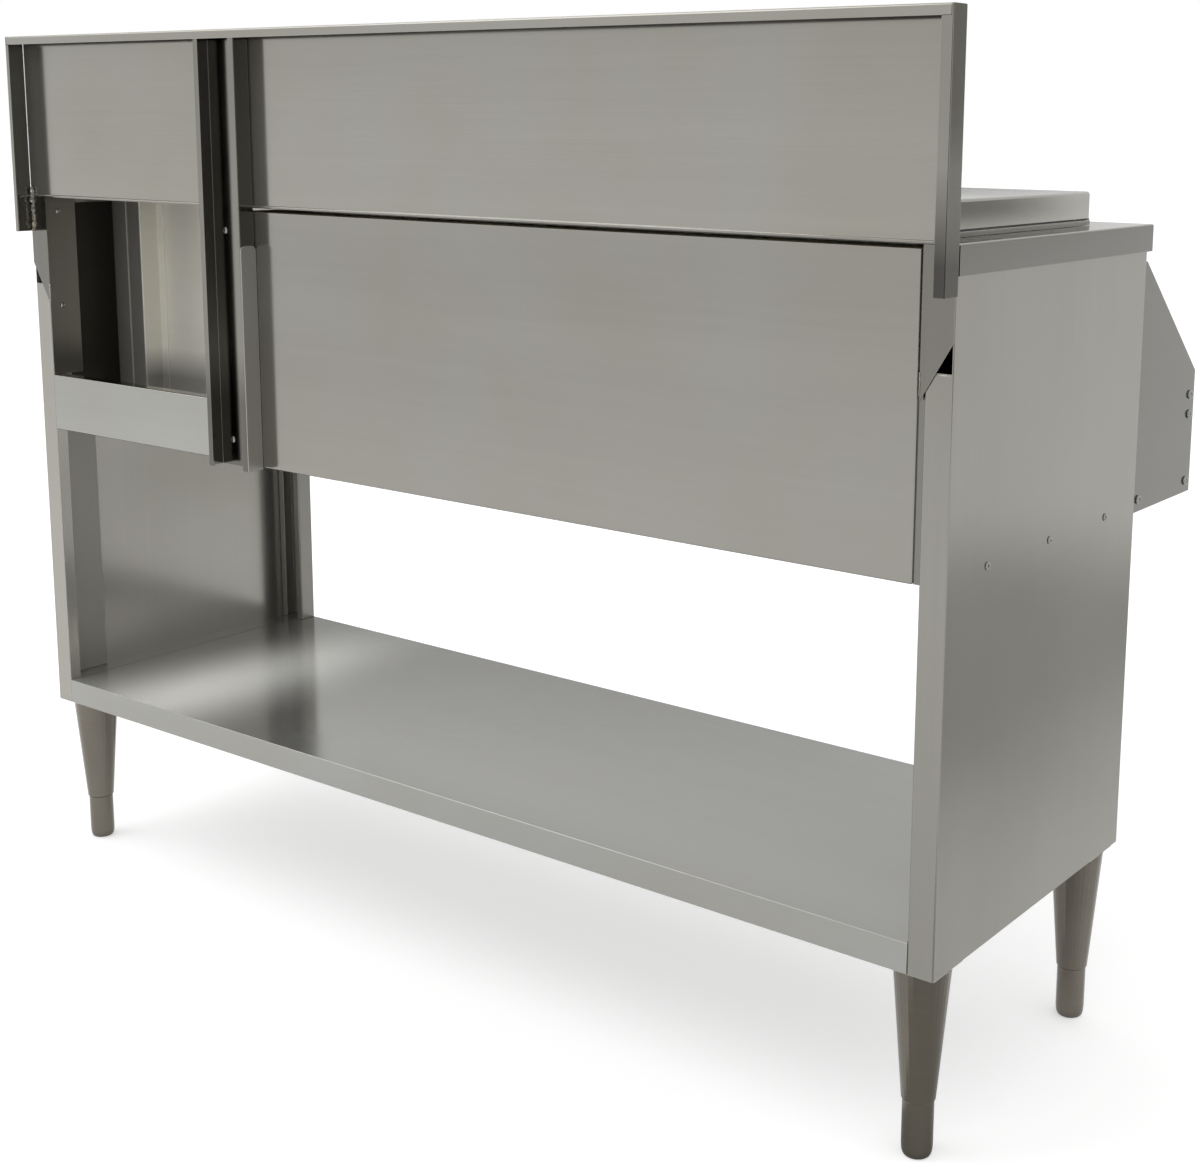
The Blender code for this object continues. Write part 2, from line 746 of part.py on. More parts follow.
def bin_rim(finish):
    """The low frame round the bin opening that the lids stand and slide on."""
    mesh = bmesh.new()
    add_box(mesh, RIM_X, RIM_Y, (DECK + GAP, RIM_TOP))
    rim = place("bin_rim", mesh, finish, (RIM_X[0], sum(RIM_Y) / 2, DECK + GAP))
    opening = bmesh.new()
    add_box(opening, BIN_X, BIN_Y, (DECK - CUT_OVERRUN, RIM_TOP + CUT_OVERRUN))
    cut(rim, "bin_rim_opening", opening)
    return rim


def sliding_lid(name, xs, ys, top, outer_side, finish):
    """A lid with skirts at the front, the rear and its outer end, open at its inner end."""
    mesh = bmesh.new()
    add_box(mesh, xs, ys, (LID_FOOT, top))
    lid = place(name, mesh, finish, (xs[0], sum(ys) / 2, LID_FOOT))
    if outer_side < 0:
        hollow_xs = (xs[0] + SHEET, xs[1] + CUT_OVERRUN)
    else:
        hollow_xs = (xs[0] - CUT_OVERRUN, xs[1] - SHEET)
    hollow = bmesh.new()
    add_box(hollow, hollow_xs, grown(ys, -SHEET), (LID_FOOT - CUT_OVERRUN, top - SHEET))
    cut(lid, name + "_hollow", hollow)
    return lid


def lid_glide(name, xs, ys, outer_side, finish):
    """The nylon edging under a lid's three skirts, on which the lid slides."""
    front, rear = grown(ys, -GAP)
    outer = xs[0] + GAP if outer_side < 0 else xs[1] - GAP
    inner = xs[1] if outer_side < 0 else xs[0]
    path = [(inner, front), (outer, front), (outer, rear), (inner, rear)]
    if outer_side < 0:
        path.reverse()
    mesh = bmesh.new()
    add_prism(mesh, folded(path, GLIDE_WIDTH), "Z", (RIM_TOP + GAP, RIM_TOP + GAP + GLIDE_HEIGHT))
    return place(name, mesh, finish, (xs[0], sum(ys) / 2, RIM_TOP + GAP))


def lid_handle(finish):
    """The bow handle near the inner end of the upper lid: a bent round rod."""
    middle_x = UPPER_LID_X[1] - LID_OVERLAP - HANDLE_INSET
    middle_y = sum(RIM_Y) / 2
    foot = LID_TOP + GAP
    half = HANDLE_LENGTH / 2
    corner_z = foot + HANDLE_RISE - HANDLE_CORNER
    bends = 4
    route = [(middle_y - half, foot)]
    for side, start in ((-1, math.pi), (1, math.pi / 2)):
        corner_y = middle_y + side * (half - HANDLE_CORNER)
        for step in range(bends + 1):
            angle = start - math.pi / 2 * step / bends
            y = corner_y + HANDLE_CORNER * math.cos(angle)
            z = corner_z + HANDLE_CORNER * math.sin(angle)
            route.append((y, z))
    route.append((middle_y + half, foot))
    line = bpy.data.curves.new("upper_lid_handle", "CURVE")
    line.dimensions = "3D"
    line.bevel_depth = HANDLE_ROD_RADIUS
    line.bevel_resolution = 2
    line.use_fill_caps = True
    spline = line.splines.new("POLY")
    spline.use_smooth = True
    spline.points.add(len(route) - 1)
    for point, (y, z) in zip(spline.points, route):
        point.co = (0, y - middle_y, z - foot, 1)
    line.materials.append(finish)
    handle = bpy.data.objects.new("upper_lid_handle", line)
    handle.location = (middle_x, middle_y, foot)
    handle.parent = STATION
    bpy.context.scene.collection.objects.link(handle)
    return handle


def lid_pull(finish):
    """The folded pull on the outer end skirt of the lower lid."""
    face = LOWER_LID_X[1] + GAP
    foot = LID_FOOT + PULL_RISE
    path = [(face, foot), (face, foot + PULL_HEIGHT), (face + PULL_REACH, foot + PULL_HEIGHT)]
    path.reverse()
    middle = sum(RIM_Y) / 2
    mesh = bmesh.new()
    add_prism(mesh, folded(path, SHEET), "Y", (middle - PULL_LENGTH / 2, middle + PULL_LENGTH / 2))
    return place("lower_lid_pull", mesh, finish, (face, middle, foot))


# Bottle well

def well_bracket(finish):
    """The upright angle on the rear wall of the bottle well, at its right end."""
    wall = WELL_Y[1] + SHEET + GAP
    right = WELL_X[1] + SHEET
    path = [
        (right - WELL_BRACKET_LEG, wall),
        (right, wall),
        (right, wall + WELL_BRACKET_DEPTH),
    ]
    mesh = bmesh.new()
    heights = (UNDER_DECK - WELL_DEPTH, UNDER_DECK - SHEET - WELL_BRACKET_DROP)
    add_prism(mesh, folded(path, SHEET), "Z", heights)
    return place("well_bracket", mesh, finish, (right, wall, heights[0]))


# Undershelf

def undershelf(finish):
    """The shelf sheet, turned down all round, the front and rear edges hemmed inward."""
    half = WIDTH / 2 - REAR_FLANGE - GAP
    xs = (-half, half)
    ys = (FRONT + SHEET + 2 * GAP, REAR)
    mesh = bmesh.new()
    inner_xs, inner_ys = grown(xs, -SHEET), grown(ys, -SHEET)
    hem_ys = grown(ys, -SHELF_HEM)
    top = BASE + SHELF_EDGE
    add_rectangle_loft(
        mesh,
        [
            (inner_xs, inner_ys, top - SHEET),
            (inner_xs, inner_ys, BASE + SHEET),
            (inner_xs, hem_ys, BASE + SHEET),
            (inner_xs, hem_ys, BASE),
            (xs, ys, BASE),
            (xs, ys, top),
        ],
    )
    return place("undershelf", mesh, finish, (0, REAR, BASE))


def shelf_stiffener(finish):
    """The hat section along the middle of the shelf's underside."""
    top = BASE + SHELF_EDGE - SHEET - GAP
    middle = (FRONT + REAR) / 2
    half = STIFFENER_WIDTH / 2
    path = [
        (middle - half, top),
        (middle - half + STIFFENER_FLANGE, top),
        (middle - half + STIFFENER_FLANGE, top - STIFFENER_DEPTH),
        (middle + half - STIFFENER_FLANGE, top - STIFFENER_DEPTH),
        (middle + half - STIFFENER_FLANGE, top),
        (middle + half, top),
    ]
    path.reverse()
    reach = WIDTH / 2 - REAR_FLANGE - 2 * SHEET - 2 * GAP
    mesh = bmesh.new()
    add_prism(mesh, folded(path, SHEET), "X", (-reach, reach))
    return place("shelf_stiffener", mesh, finish, (0, middle, top))


# Legs

def leg_places():
    """The four legs' names and axes."""
    for end, y in (("rear", REAR - LEG_INSET_Y), ("front", FRONT + LEG_INSET_Y)):
        for side, x in (("left", LEFT + LEG_INSET_X), ("right", RIGHT - LEG_INSET_X)):
            yield f"{end}_{side}", x, y


def leg_set(steel, plate_steel):
    """For each corner: the mounting plate, the tapered leg and the screw-adjusted bullet foot."""
    plate_z = (BASE - GAP - LEG_PLATE, BASE - GAP)
    cone_top = plate_z[0] - GAP
    cone_foot = cone_top - LEG_CONE
    shoulder = cone_foot - GAP
    stem_top = shoulder + FOOT_TRAVEL + FOOT_ENGAGED
    for corner, x, y in leg_places():
        mesh = bmesh.new()
        half = LEG_PLATE_SIDE / 2
        add_box(mesh, (x - half, x + half), (y - half, y + half), plate_z)
        place("leg_plate_" + corner, mesh, plate_steel, (x, y, plate_z[0]))
        mesh = bmesh.new()
        profile = (
            (0, cone_top),
            (LEG_TOP_RADIUS, cone_top),
            (LEG_FOOT_RADIUS, cone_foot),
            (FOOT_STEM_RADIUS + FOOT_PLAY, cone_foot),
            (FOOT_STEM_RADIUS + FOOT_PLAY, stem_top + LEG_BORE_SPARE),
            (0, stem_top + LEG_BORE_SPARE),
        )
        add_turned(mesh, profile, (x, y, 0), ROUND_SIDES)
        place("leg_" + corner, mesh, steel, (x, y, cone_top), turned=True)
        mesh = bmesh.new()
        profile = (
            (0, 0),
            (FOOT_TIP_RADIUS, 0),
            (FOOT_TIP_RADIUS, FOOT_TIP),
            (FOOT_RADIUS, FOOT_TIP + FOOT_SHOULDER),
            (FOOT_RADIUS, shoulder),
            (FOOT_STEM_RADIUS, shoulder),
            (FOOT_STEM_RADIUS, stem_top),
            (0, stem_top),
        )
        add_turned(mesh, profile, (x, y, 0), ROUND_SIDES)
        place("leveling_foot_" + corner, mesh, steel, (x, y, 0), turned=True)


# Speed rail

BRACKET_FACE = WIDTH / 2 - BRACKET_INSET
RAIL_FRONT = FRONT - RAIL_DEPTH
TROUGH_HALF = BRACKET_FACE - HEAVY_SHEET - GAP


def trough(finish):
    """The bottle trough: back wall, floor and a front wall with an inward hem."""
    back = FRONT - GAP
    front = RAIL_FRONT + HEAVY_SHEET + GAP
    path = [
        (back, TROUGH_FLOOR + TROUGH_BACK),
        (back, TROUGH_FLOOR),
        (front + TROUGH_FRONT_LEAN, TROUGH_FLOOR),
        (front, TROUGH_FLOOR + TROUGH_FRONT),
        (front + TROUGH_HEM, TROUGH_FLOOR + TROUGH_FRONT),
    ]
    path.reverse()
    mesh = bmesh.new()
    add_prism(mesh, folded(path, SHEET), "X", (-TROUGH_HALF, TROUGH_HALF))
    return place("speed_rail_trough", mesh, finish, (0, FRONT, TROUGH_FLOOR))


def bracket_profile():
    """Side view of a rail end bracket: upright rear and front edges and a slanted head."""
    head = BRACKET_FOOT + BRACKET_REAR_HEIGHT
    return [
        (FRONT - GAP, BRACKET_FOOT),
        (FRONT - GAP, head),
        (FRONT - GAP - BRACKET_REAR_REACH, head),
        (RAIL_FRONT, BRACKET_FOOT + BRACKET_FRONT_HEIGHT),
        (RAIL_FRONT, BRACKET_FOOT),
    ]


def rail_bracket(name, side, finish):
    """The end plate of the speed rail."""
    mesh = bmesh.new()
    outer = side * BRACKET_FACE
    inner = side * (BRACKET_FACE - HEAVY_SHEET)
    add_prism(mesh, bracket_profile(), "X", (inner, outer))
    plate = place(name, mesh, finish, (outer, FRONT, BRACKET_FOOT))
    spots = bracket_screw_spots(side)
    cut_round_holes(plate, name + "_holes", spots, SCREW_HOLE_RADIUS, CUT_OVERRUN, "X")
    return plate


def bracket_screw_spots(side):
    """The four screws of a rail end: two at the front head, one at the front foot, one at the rear."""
    x = side * BRACKET_FACE
    near = RAIL_FRONT + CORNER_SCREW_INSET
    lower = BRACKET_FOOT + CORNER_SCREW_INSET
    upper = BRACKET_FOOT + BRACKET_FRONT_HEIGHT - 2 * CORNER_SCREW_INSET
    return [
        (x, near, upper),
        (x, near, upper - PAIR_SCREW_PITCH),
        (x, near, lower),
        (x, FRONT - CORNER_SCREW_INSET, lower),
    ]


# Screws of the left side panel

def side_screw_spots():
    """The screws that hold the left side panel to the end of the bin jacket."""
    z = JACKET_Z[0] + SIDE_SCREW_RISE
    pitch = (BODY_DEPTH - SIDE_SCREW_REAR - SIDE_SCREW_FRONT) / (SIDE_SCREWS - 1)
    first = REAR - SIDE_SCREW_REAR
    return [(LEFT + PANEL_OUTER, first - step * pitch, z) for step in range(SIDE_SCREWS)]


STATION = None


def main():
    """Builds every piece of the station."""
    global STATION
    clear_scene()
    STATION = bpy.data.objects.new("cocktail_station", None)
    bpy.context.scene.collection.objects.link(STATION)

    steel = material("brushed_steel", (0.33, 0.32, 0.29), 0.35, 1)
    light_steel = material("light_steel", (0.42, 0.42, 0.40), 0.30, 1)
    leg_steel = material("leg_steel", (0.24, 0.22, 0.20), 0.35, 1)
    foam = material("insulation_foam", (0.72, 0.66, 0.48), 0.9, 0)
    chrome = material("screw_steel", (0.55, 0.55, 0.54), 0.25, 1)
    nylon = material("black_nylon", (0.02, 0.02, 0.02), 0.6, 0)

    left_panel = side_panel("side_panel_left", -1, steel)
    cut_round_holes(left_panel, "side_holes", side_screw_spots(), SCREW_HOLE_RADIUS, CUT_OVERRUN, "X")
    side_panel("side_panel_right", 1, steel)
    front_post("front_post_left", -1, light_steel)
    front_post("front_post_right", 1, light_steel)
    front_apron(steel)
    gusset("rear_gusset_left", -1, steel)
    gusset("rear_gusset_right", 1, steel)
    channel_post(steel)
    cross_rail(light_steel)
    bay_angle(steel)
    backsplash(steel)
    backsplash_end("backsplash_end_left", -1, LEFT_END_HEM, steel)
    backsplash_end("backsplash_end_right", 1, RIGHT_END_HEM, steel)
    deck(steel)
    ice_bin(steel, foam)
    drain(chrome)
    strainer(chrome)
    bin_rim(steel)
    sliding_lid("upper_lid", UPPER_LID_X, RIM_Y, LID_TOP, -1, steel)
    sliding_lid("lower_lid", LOWER_LID_X, LOWER_LID_Y, LID_TOP - SHEET - LID_PLAY, 1, steel)
    lid_glide("upper_lid_glide", UPPER_LID_X, RIM_Y, -1, nylon)
    lid_glide("lower_lid_glide", LOWER_LID_X, LOWER_LID_Y, 1, nylon)
    lid_handle(chrome)
    lid_pull(steel)
    tray("bottle_well", WELL_X, WELL_Y, UNDER_DECK - WELL_DEPTH, UNDER_DECK, WELL_FLANGE, steel)
    well_bracket(steel)
    undershelf(light_steel)
    shelf_stiffener(light_steel)
    leg_set(leg_steel, steel)
    trough(light_steel)
    rail_bracket("rail_bracket_left", -1, steel)
    rail_bracket("rail_bracket_right", 1, steel)

    for side, word, axis in ((-1, "left", "-X"), (1, "right", "X")):
        for number, spot in enumerate(bracket_screw_spots(side), 1):
            seat = (spot[0] + side * GAP, spot[1], spot[2])
            screw(
                f"rail_screw_{word}_{number}",
                seat,
                axis,
                SCREW_HEAD_RADIUS,
                SCREW_HEAD,
                SCREW_SHANK_RADIUS,
                SCREW_SHANK,
                chrome,
            )
    for number, spot in enumerate(side_screw_spots(), 1):
        seat = (spot[0] - GAP, spot[1], spot[2])
        screw(
            f"side_screw_{number}",
            seat,
            "-X",
            SMALL_HEAD_RADIUS,
            SMALL_HEAD,
            SCREW_SHANK_RADIUS,
            SCREW_SHANK,
            chrome,
        )
    for number, spot in enumerate(channel_screw_spots(), 1):
        seat = (spot[0], spot[1] + GAP + HEAVY_SHEET + GAP, spot[2])
        screw(
            f"channel_screw_{number}",
            seat,
            "Y",
            SMALL_HEAD_RADIUS,
            SMALL_HEAD,
            SCREW_SHANK_RADIUS,
            SCREW_SHANK,
            chrome,
        )
    for number, spot in enumerate(rivet_spots(), 1):
        seat = (spot[0] - GAP, spot[1], spot[2])
        screw(
            f"bay_rivet_{number}",
            seat,
            "-X",
            RIVET_RADIUS,
            RIVET_HEAD,
            RIVET_SHANK_RADIUS,
            RIVET_SHANK,
            chrome,
        )


if __name__ == "__main__":
    main()
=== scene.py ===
import json
import math

import bmesh
import bpy
from bpy.props import FloatProperty, FloatVectorProperty, IntProperty, PointerProperty
from bpy.types import Operator, Panel, PropertyGroup
from mathutils import Euler, Matrix, Vector, noise
from mathutils.bvhtree import BVHTree


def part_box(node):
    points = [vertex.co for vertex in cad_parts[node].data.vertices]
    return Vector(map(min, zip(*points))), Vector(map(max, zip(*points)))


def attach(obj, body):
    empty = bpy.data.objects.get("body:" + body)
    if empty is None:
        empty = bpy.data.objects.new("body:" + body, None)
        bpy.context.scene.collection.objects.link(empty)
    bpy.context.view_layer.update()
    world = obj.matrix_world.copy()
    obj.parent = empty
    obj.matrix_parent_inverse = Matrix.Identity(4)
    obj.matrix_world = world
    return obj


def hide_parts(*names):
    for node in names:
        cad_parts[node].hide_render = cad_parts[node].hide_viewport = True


bl_info = {
    "name": "Cocktail station dressing",
    "version": (1, 0, 0),
    "blender": (4, 5, 0),
    "location": "View3D > Sidebar > Cocktail station",
    "description": "Steel finishes, lids, trays, feet, fastenings, welds and stage for a cocktail station",
    "category": "Object",
}

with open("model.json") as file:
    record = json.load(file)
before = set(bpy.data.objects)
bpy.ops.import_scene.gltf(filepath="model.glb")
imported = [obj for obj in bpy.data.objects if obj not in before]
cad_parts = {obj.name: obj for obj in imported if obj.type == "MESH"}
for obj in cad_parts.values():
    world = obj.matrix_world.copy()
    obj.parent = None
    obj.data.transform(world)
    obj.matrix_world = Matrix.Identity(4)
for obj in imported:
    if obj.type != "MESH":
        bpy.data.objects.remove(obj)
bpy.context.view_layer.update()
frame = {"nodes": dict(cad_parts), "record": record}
SLOT_OF = {part["node"]: part["material_slot"] for part in frame["record"]["subparts"]}
SIDE_OF = {"left": -1, "right": 1}

# The brushed finishes: name, colour setting, share of it, roughness (None takes the setting's), grain, the rest.
# The shares make lighter and darker copies of one steel: painted light and shade on the pieces that take them.
# A foot is the height where the painted shade towards the bottom is darkest, the height where it ends, and how dark
# it is.
BRUSHED = (
    ("brushed along", "sheet", 1.08, None, "X", {"metal": 0.82}),
    ("brushed upright", "sheet", 0.88, None, "Z", {"metal": 0.90}),
    ("jacket along", "sheet", 0.94, None, "X", {"metal": 0.86}),
    # Darker copy, darker still towards its foot: painted shade on the rear channel.
    ("channel upright", "sheet", 0.78, None, "Z", {"foot": (0.585, 0.640, 0.55)}),
    # Lighter copy: painted light on the far side panel.
    ("far upright", "sheet", 1.14, 0.20, "Z", {"metal": 0.72}),
    # Much darker copy: painted shade on the rail brackets.
    ("brushed deep", "sheet", 0.52, None, "Y", {}),
    # Darker copy: painted shade on the gussets, the bay angle and the jacket's end strip.
    ("upright painted darker", "sheet", 0.63, None, "Z", {}),
    # Much lighter copy: painted light in the bay, with painted shade towards its foot.
    ("mill sheet", "sheet", 2.7, 0.42, "X", {"streak": 0.5, "metal": 0.35, "foot": (0.570, 0.606, 0.34)}),
    ("soft upright", "sheet", 0.9, 0.25, "Z", {"metal": 0.45}),
    # Painted shade towards the foot of the backsplash's left end.
    ("upright painted dark at foot", "sheet", 0.88, None, "Z", {"foot": (0.775, 0.850, 0.27)}),
    # Darker copy: painted shade on the corner stiffeners, the bay's closing strip and the backsplash seams.
    ("dim mill", "sheet", 0.88, 0.40, "Z", {"streak": 0.5, "metal": 0.5}),
    ("soft mill", "sheet", 1.05, 0.40, "Z", {"streak": 0.5, "metal": 0.5}),
    # Nearly black copy: painted shade for the dark sheet in the bay.
    ("shaded steel", "sheet", 0.14, 0.40, "Z", {"streak": 0.5}),
    # Darker below the deck's top: painted shade on its turned-down edge.
    ("deck along", "sheet", 0.92, None, "X", {"metal": 0.88, "foot": (0.7900, 0.7916, 0.58)}),
    ("satin rail", "pale", 1.0, 0.22, "X", {"streak": 0.7, "metal": 0.70}),
    # Lighter copy: painted light in the ice bin and the bottle well.
    ("satin well", "pale", 1.5, 0.30, "X", {"streak": 0.6, "metal": 0.5}),
    ("pale brushed", "pale", 1.0, None, "X", {"streak": 0.7}),
    ("satin shelf", "pale", 0.98, None, "X", {"streak": 0.6, "metal": 0.60}),
)

# Which finish each slot's solids take, and the solids that take another one.
SLOT_FINISH = {
    "brushed_steel": "brushed along",
    "light_steel": "pale brushed",
    "leg_steel": "turned leg",
    "bright_steel": "bright fittings",
    "insulation_foam": "foam",
    "black_nylon": "black nylon",
}
OWN_FINISH = {
    "backsplash_end_left": "upright painted dark at foot",
    "backsplash_end_right": "brushed upright",
    "bay_side_angle": "upright painted darker",
    "bin_jacket": "jacket along",
    "deck": "deck along",
    "front_post_left": "soft upright",
    "front_post_right": "soft upright",
    "rail_bracket_left": "brushed deep",
    "rail_bracket_right": "brushed deep",
    "rear_channel_post": "channel upright",
    "rear_cross_rail": "pale brushed",
    "rear_gusset_left": "upright painted darker",
    "rear_gusset_right": "upright painted darker",
    "shelf_stiffener": "pale brushed",
    "side_panel_left": "brushed upright",
    "side_panel_right": "far upright",
    "speed_rail_trough": "satin rail",
    "undershelf": "satin shelf",
    "well_bracket": "mill sheet",
}

# The sheets that are made again with round bends, and the ones that operators of their own make again.
FOLDED_SHEETS = (
    "backsplash",
    "backsplash_end_left",
    "backsplash_end_right",
    "deck",
    "bin_jacket",
    "rear_channel_post",
    "rear_cross_rail",
    "bay_side_angle",
    "side_panel_left",
    "side_panel_right",
    "front_post_left",
    "front_post_right",
    "front_apron",
    "undershelf",
    "shelf_stiffener",
    "speed_rail_trough",
    "well_bracket",
)
REMADE_SHEETS = ("upper_lid", "lower_lid", "ice_bin_liner", "bottle_well")

# Angles in degrees: how sharp an edge is to be seen as one, to be broken, and to be a bend.
SHARP = 35
SHARP_ON_SHEET = 30
SHARP_ON_FOOT = 28
BROKEN_FROM = 50
BEND_FROM = 60

# Strips: how far they stand off or overlap, their widths and their heights.
TRIM_BEND = 0.0008
SHELF_LAP = 0.0010
STIFFENER_STEP = 0.0070
STIFFENER_FOLDS = (0.0200, 0.0245, 0.0650)
STIFFENER_HEIGHT = 0.3040
JACKET_STRIP_ENDS = (0.5765, 0.5890)
CHANNEL_STRIP_HEIGHT = 0.238
CLOSING_HEM = 0.010
CLOSING_WIDTH = 0.0240
CLOSING_STEP = 0.0015
WELL_PLATE_GAP = 0.012

# Turned shapes, as pairs of radius and height. A screw head's are shares of the head's own radius and height.
SCREW_HEAD = ((0, 1.0), (0.30, 0.99), (0.55, 0.93), (0.76, 0.80), (0.90, 0.60), (0.98, 0.34), (1.0, 0.12), (1.0, 0.0))
SCREW_LENGTH = 0.0068
STUB_LENGTH = 0.0008
CHANNEL_SCREW_STEP = 0.0306
RIVET_HEAD = 0.0014
RIVET_SHANK = [(0.0016, 0), (0.0016, -0.0038), (0, -0.0039)]
FOOT_TIP = (
    (0, 0),
    (0.0100, 0),
    (0.0113, 0.0003),
    (0.0122, 0.0011),
    (0.0129, 0.0024),
    (0.0134, 0.0042),
    (0.0137, 0.0062),
    (0.01385, 0.0084),
)
FOOT_TIP_HEIGHT = 0.0105
FOOT_STEM = 0.0115
THREAD_DEPTH = 0.0008
HANDLE_CORNER = 0.012
HANDLE_SEAT = ((0, 0), (0.0042, 0), (0.0045, 0.0003), (0.0042, 0.0010), (0.0012, 0.0014), (0, 0.0028), (0, 0))
BORE_SIDES = 48

# Welds: where the gusset's upper bead runs, the faint seams' pitches, and how high the ends' foot beads reach.
GUSSET_BEAD_DROP = 0.102
END_SEAM_PITCH = 0.006
DECK_SEAM_PITCH = 0.012
DECK_SEAM_HALF = 0.603
FOOT_BEAD_REACH = {"left": 0.012, "right": 0.046}
WANDER_SEED = 1

# What the steel mirrors. Cards: name, paint, start and stop on the floor, foot, top. Mats: name, paint, X, Y, height.
CARDS = (
    ("right card", "dark card", (-3.2, 4.8), (-5.9, 0.0), -0.5, 2.1),
    ("front card", "grey card", (-2.1, -5.0), (-5.2, -2.0), 0.42, 1.9),
    ("far card", "grey card", (1.2, -5.7), (6.2, -2.8), -0.6, 2.35),
)
MATS = (
    ("side mat", "grey mat", (-0.75, -1.9), (-2.3, 0.0), 0.001),
    ("leg mat", "leg mat", (-0.50, -1.3), (-0.10, 1.0), 0.0015),
)
CARD_EDGES = (("X", True, True), ("Z", True, True))
MAT_EDGES = (("X", True, True), ("Y", True, True))
LEG_MAT_EDGES = (("X", True, False), ("Y", True, True))
SENSOR_WIDTH = 36
FAR_CLIP = 200


# What a user would change


def length(name, default, description):
    """A length among the settings."""
    return FloatProperty(name=name, description=description, default=default, unit="LENGTH")


def share(name, default, description):
    """A share from nothing to all among the settings."""
    return FloatProperty(name=name, description=description, default=default, min=0, max=1, subtype="FACTOR")


def colour(name, default, description):
    """A colour among the settings."""
    return FloatVectorProperty(name=name, description=description, default=default, min=0, max=1, subtype="COLOR")


def power(name, default, description):
    """A lamp's power among the settings."""
    return FloatProperty(name=name, description=description, default=default, unit="POWER")


class SheetSizes(PropertyGroup):
    """Sizes of the folded sheets, the lids and the trays."""

    sheet: length("Sheet", 0.0012, "Thickness of the lids, the trays and the strips")
    edge_round: length("Edge round", 0.0003, "Radius worn on the cut edges of the sheets")
    bend_round: length("Bend round", 0.0018, "Outside radius of the bends of the folded sheets")
    rim_round: length("Rim round", 0.0012, "Radius on the edges of the bin rim")
    lid_bend: length("Lid bend", 0.0030, "Outside radius of the bends of a lid")
    tray_cove: length("Tray cove", 0.010, "Inside radius where the walls of a tray meet its floor")
    bin_flange: length("Bin flange", 0.012, "Width of the flange round the ice bin's liner")
    well_flange: length("Well flange", 0.010, "Width of the flange round the bottle well")
    drain_bore: length("Drain bore", 0.0168, "Radius of the hole in the liner's floor")


class FasteningSizes(PropertyGroup):
    """Sizes of the screws, rivets, welds and feet."""

    pan_radius: length("Pan head radius", 0.0046, "Radius of the heads on the rail brackets")
    pan_height: length("Pan head height", 0.0026, "Height of the heads on the rail brackets")
    small_radius: length("Small head radius", 0.0036, "Radius of the heads on the side panels and the channel")
    small_height: length("Small head height", 0.0012, "Height of the heads on the side panels and the channel")
    shank_radius: length("Shank radius", 0.0021, "Radius of the screws behind their heads")
    recess_width: length("Recess width", 0.0010, "Width of each arm of the cross recess")
    recess_reach: share("Recess reach", 0.62, "Share of the head's radius that the cross recess reaches")
    recess_depth: share("Recess depth", 0.75, "Share of the head's height that the cross recess is deep")
    mandrel_radius: length("Mandrel radius", 0.0011, "Radius of the pin end left in each rivet")
    bead: length("Weld bead", 0.0012, "Radius of a weld bead")
    bead_pitch: length("Bead pitch", 0.0022, "Distance between the ripples of a weld bead")
    thread_pitch: length("Foot thread pitch", 0.0020, "Pitch of the thread on a leveling foot's stem")
    round_sides: IntProperty(
        name="Round sides",
        description="Number of sides of the turned pieces",
        default=48,
        min=12,
        max=96,
    )


class SteelColours(PropertyGroup):
    """Colours and gloss of the finishes."""

    sheet: colour("Sheet steel", (0.300, 0.291, 0.262), "Colour of the brushed sheets")
    pale: colour("Pale steel", (0.345, 0.343, 0.322), "Colour of the undershelf, the trays and the rails")
    leg: colour("Leg steel", (0.168, 0.153, 0.130), "Colour of the legs and feet")
    bright: colour("Bright steel", (0.30, 0.30, 0.29), "Colour of the screws, rivets, drain and handle")
    nylon: colour("Nylon", (0.020, 0.020, 0.021), "Colour of the lid glides")
    foam: colour("Foam", (0.80, 0.72, 0.50), "Colour of the insulation in the bin's walls")
    sheet_gloss: share("Sheet roughness", 0.14, "Roughness of the brushed sheets")
    pale_gloss: share("Pale roughness", 0.14, "Roughness of the undershelf and the cross rail")


class StageSettings(PropertyGroup):
    """The camera, floor and lamps."""

    camera_place: FloatVectorProperty(
        name="Camera place",
        description="Where the camera stands",
        default=(-1.26283, 1.47605, 0.88195),
        subtype="XYZ",
        unit="LENGTH",
    )
    camera_turn: FloatVectorProperty(
        name="Camera turn",
        description="How the camera is turned about X, Y and Z",
        default=(math.radians(79.90055), math.radians(-0.49442), math.radians(-143.6687)),
        subtype="EULER",
    )
    lens: FloatProperty(
        name="Lens",
        description="Focal length of the camera",
        default=53.395,
        unit="CAMERA",
    )
    shift_across: FloatProperty(
        name="Shift across",
        description="Sideways shift of the camera, as a share of the picture's width",
        default=-0.08333,
    )
    shift_up: FloatProperty(
        name="Shift up",
        description="Upward shift of the camera, as a share of the picture's width",
        default=-0.12,
    )
    floor_colour: colour("Floor", (0.72, 0.72, 0.72), "Colour of the floor")
    floor_lift: share("Floor lift", 0.44, "How much the floor lifts towards white where it is seen directly")
    floor_glow: share("Mirrored floor lift", 0.36, "How much the floor lifts towards white where steel mirrors it")
    card_colour: colour("Dark card", (0.14, 0.14, 0.133), "Colour of the card behind the station's left end")
    grey_colour: colour("Grey cards", (0.33, 0.33, 0.32), "Colour of the two cards before the station")
    mat_colour: colour("Mats", (0.57, 0.57, 0.55), "Colour of the two mats beside the station's left end")
    floor_half: length("Floor half width", 30.0, "Half of the floor's width")
    top_power: power("Top lamp", 31.0, "Power of the wide lamp over the station")
    front_power: power("Front lamp", 0.75, "Power of the narrow lamp that shines in under the speed rail")


# Finishes


def shaded(base, amount=1.0):
    """A colour made darker or lighter by an amount, with the fourth number that a shader takes."""
    return (*[min(1.0, part * amount) for part in base], 1)


def toned(base, shares):
    """A colour turned warmer or cooler by a share for each of its parts."""
    return (*[part * change for part, change in zip(base, shares)], 1)


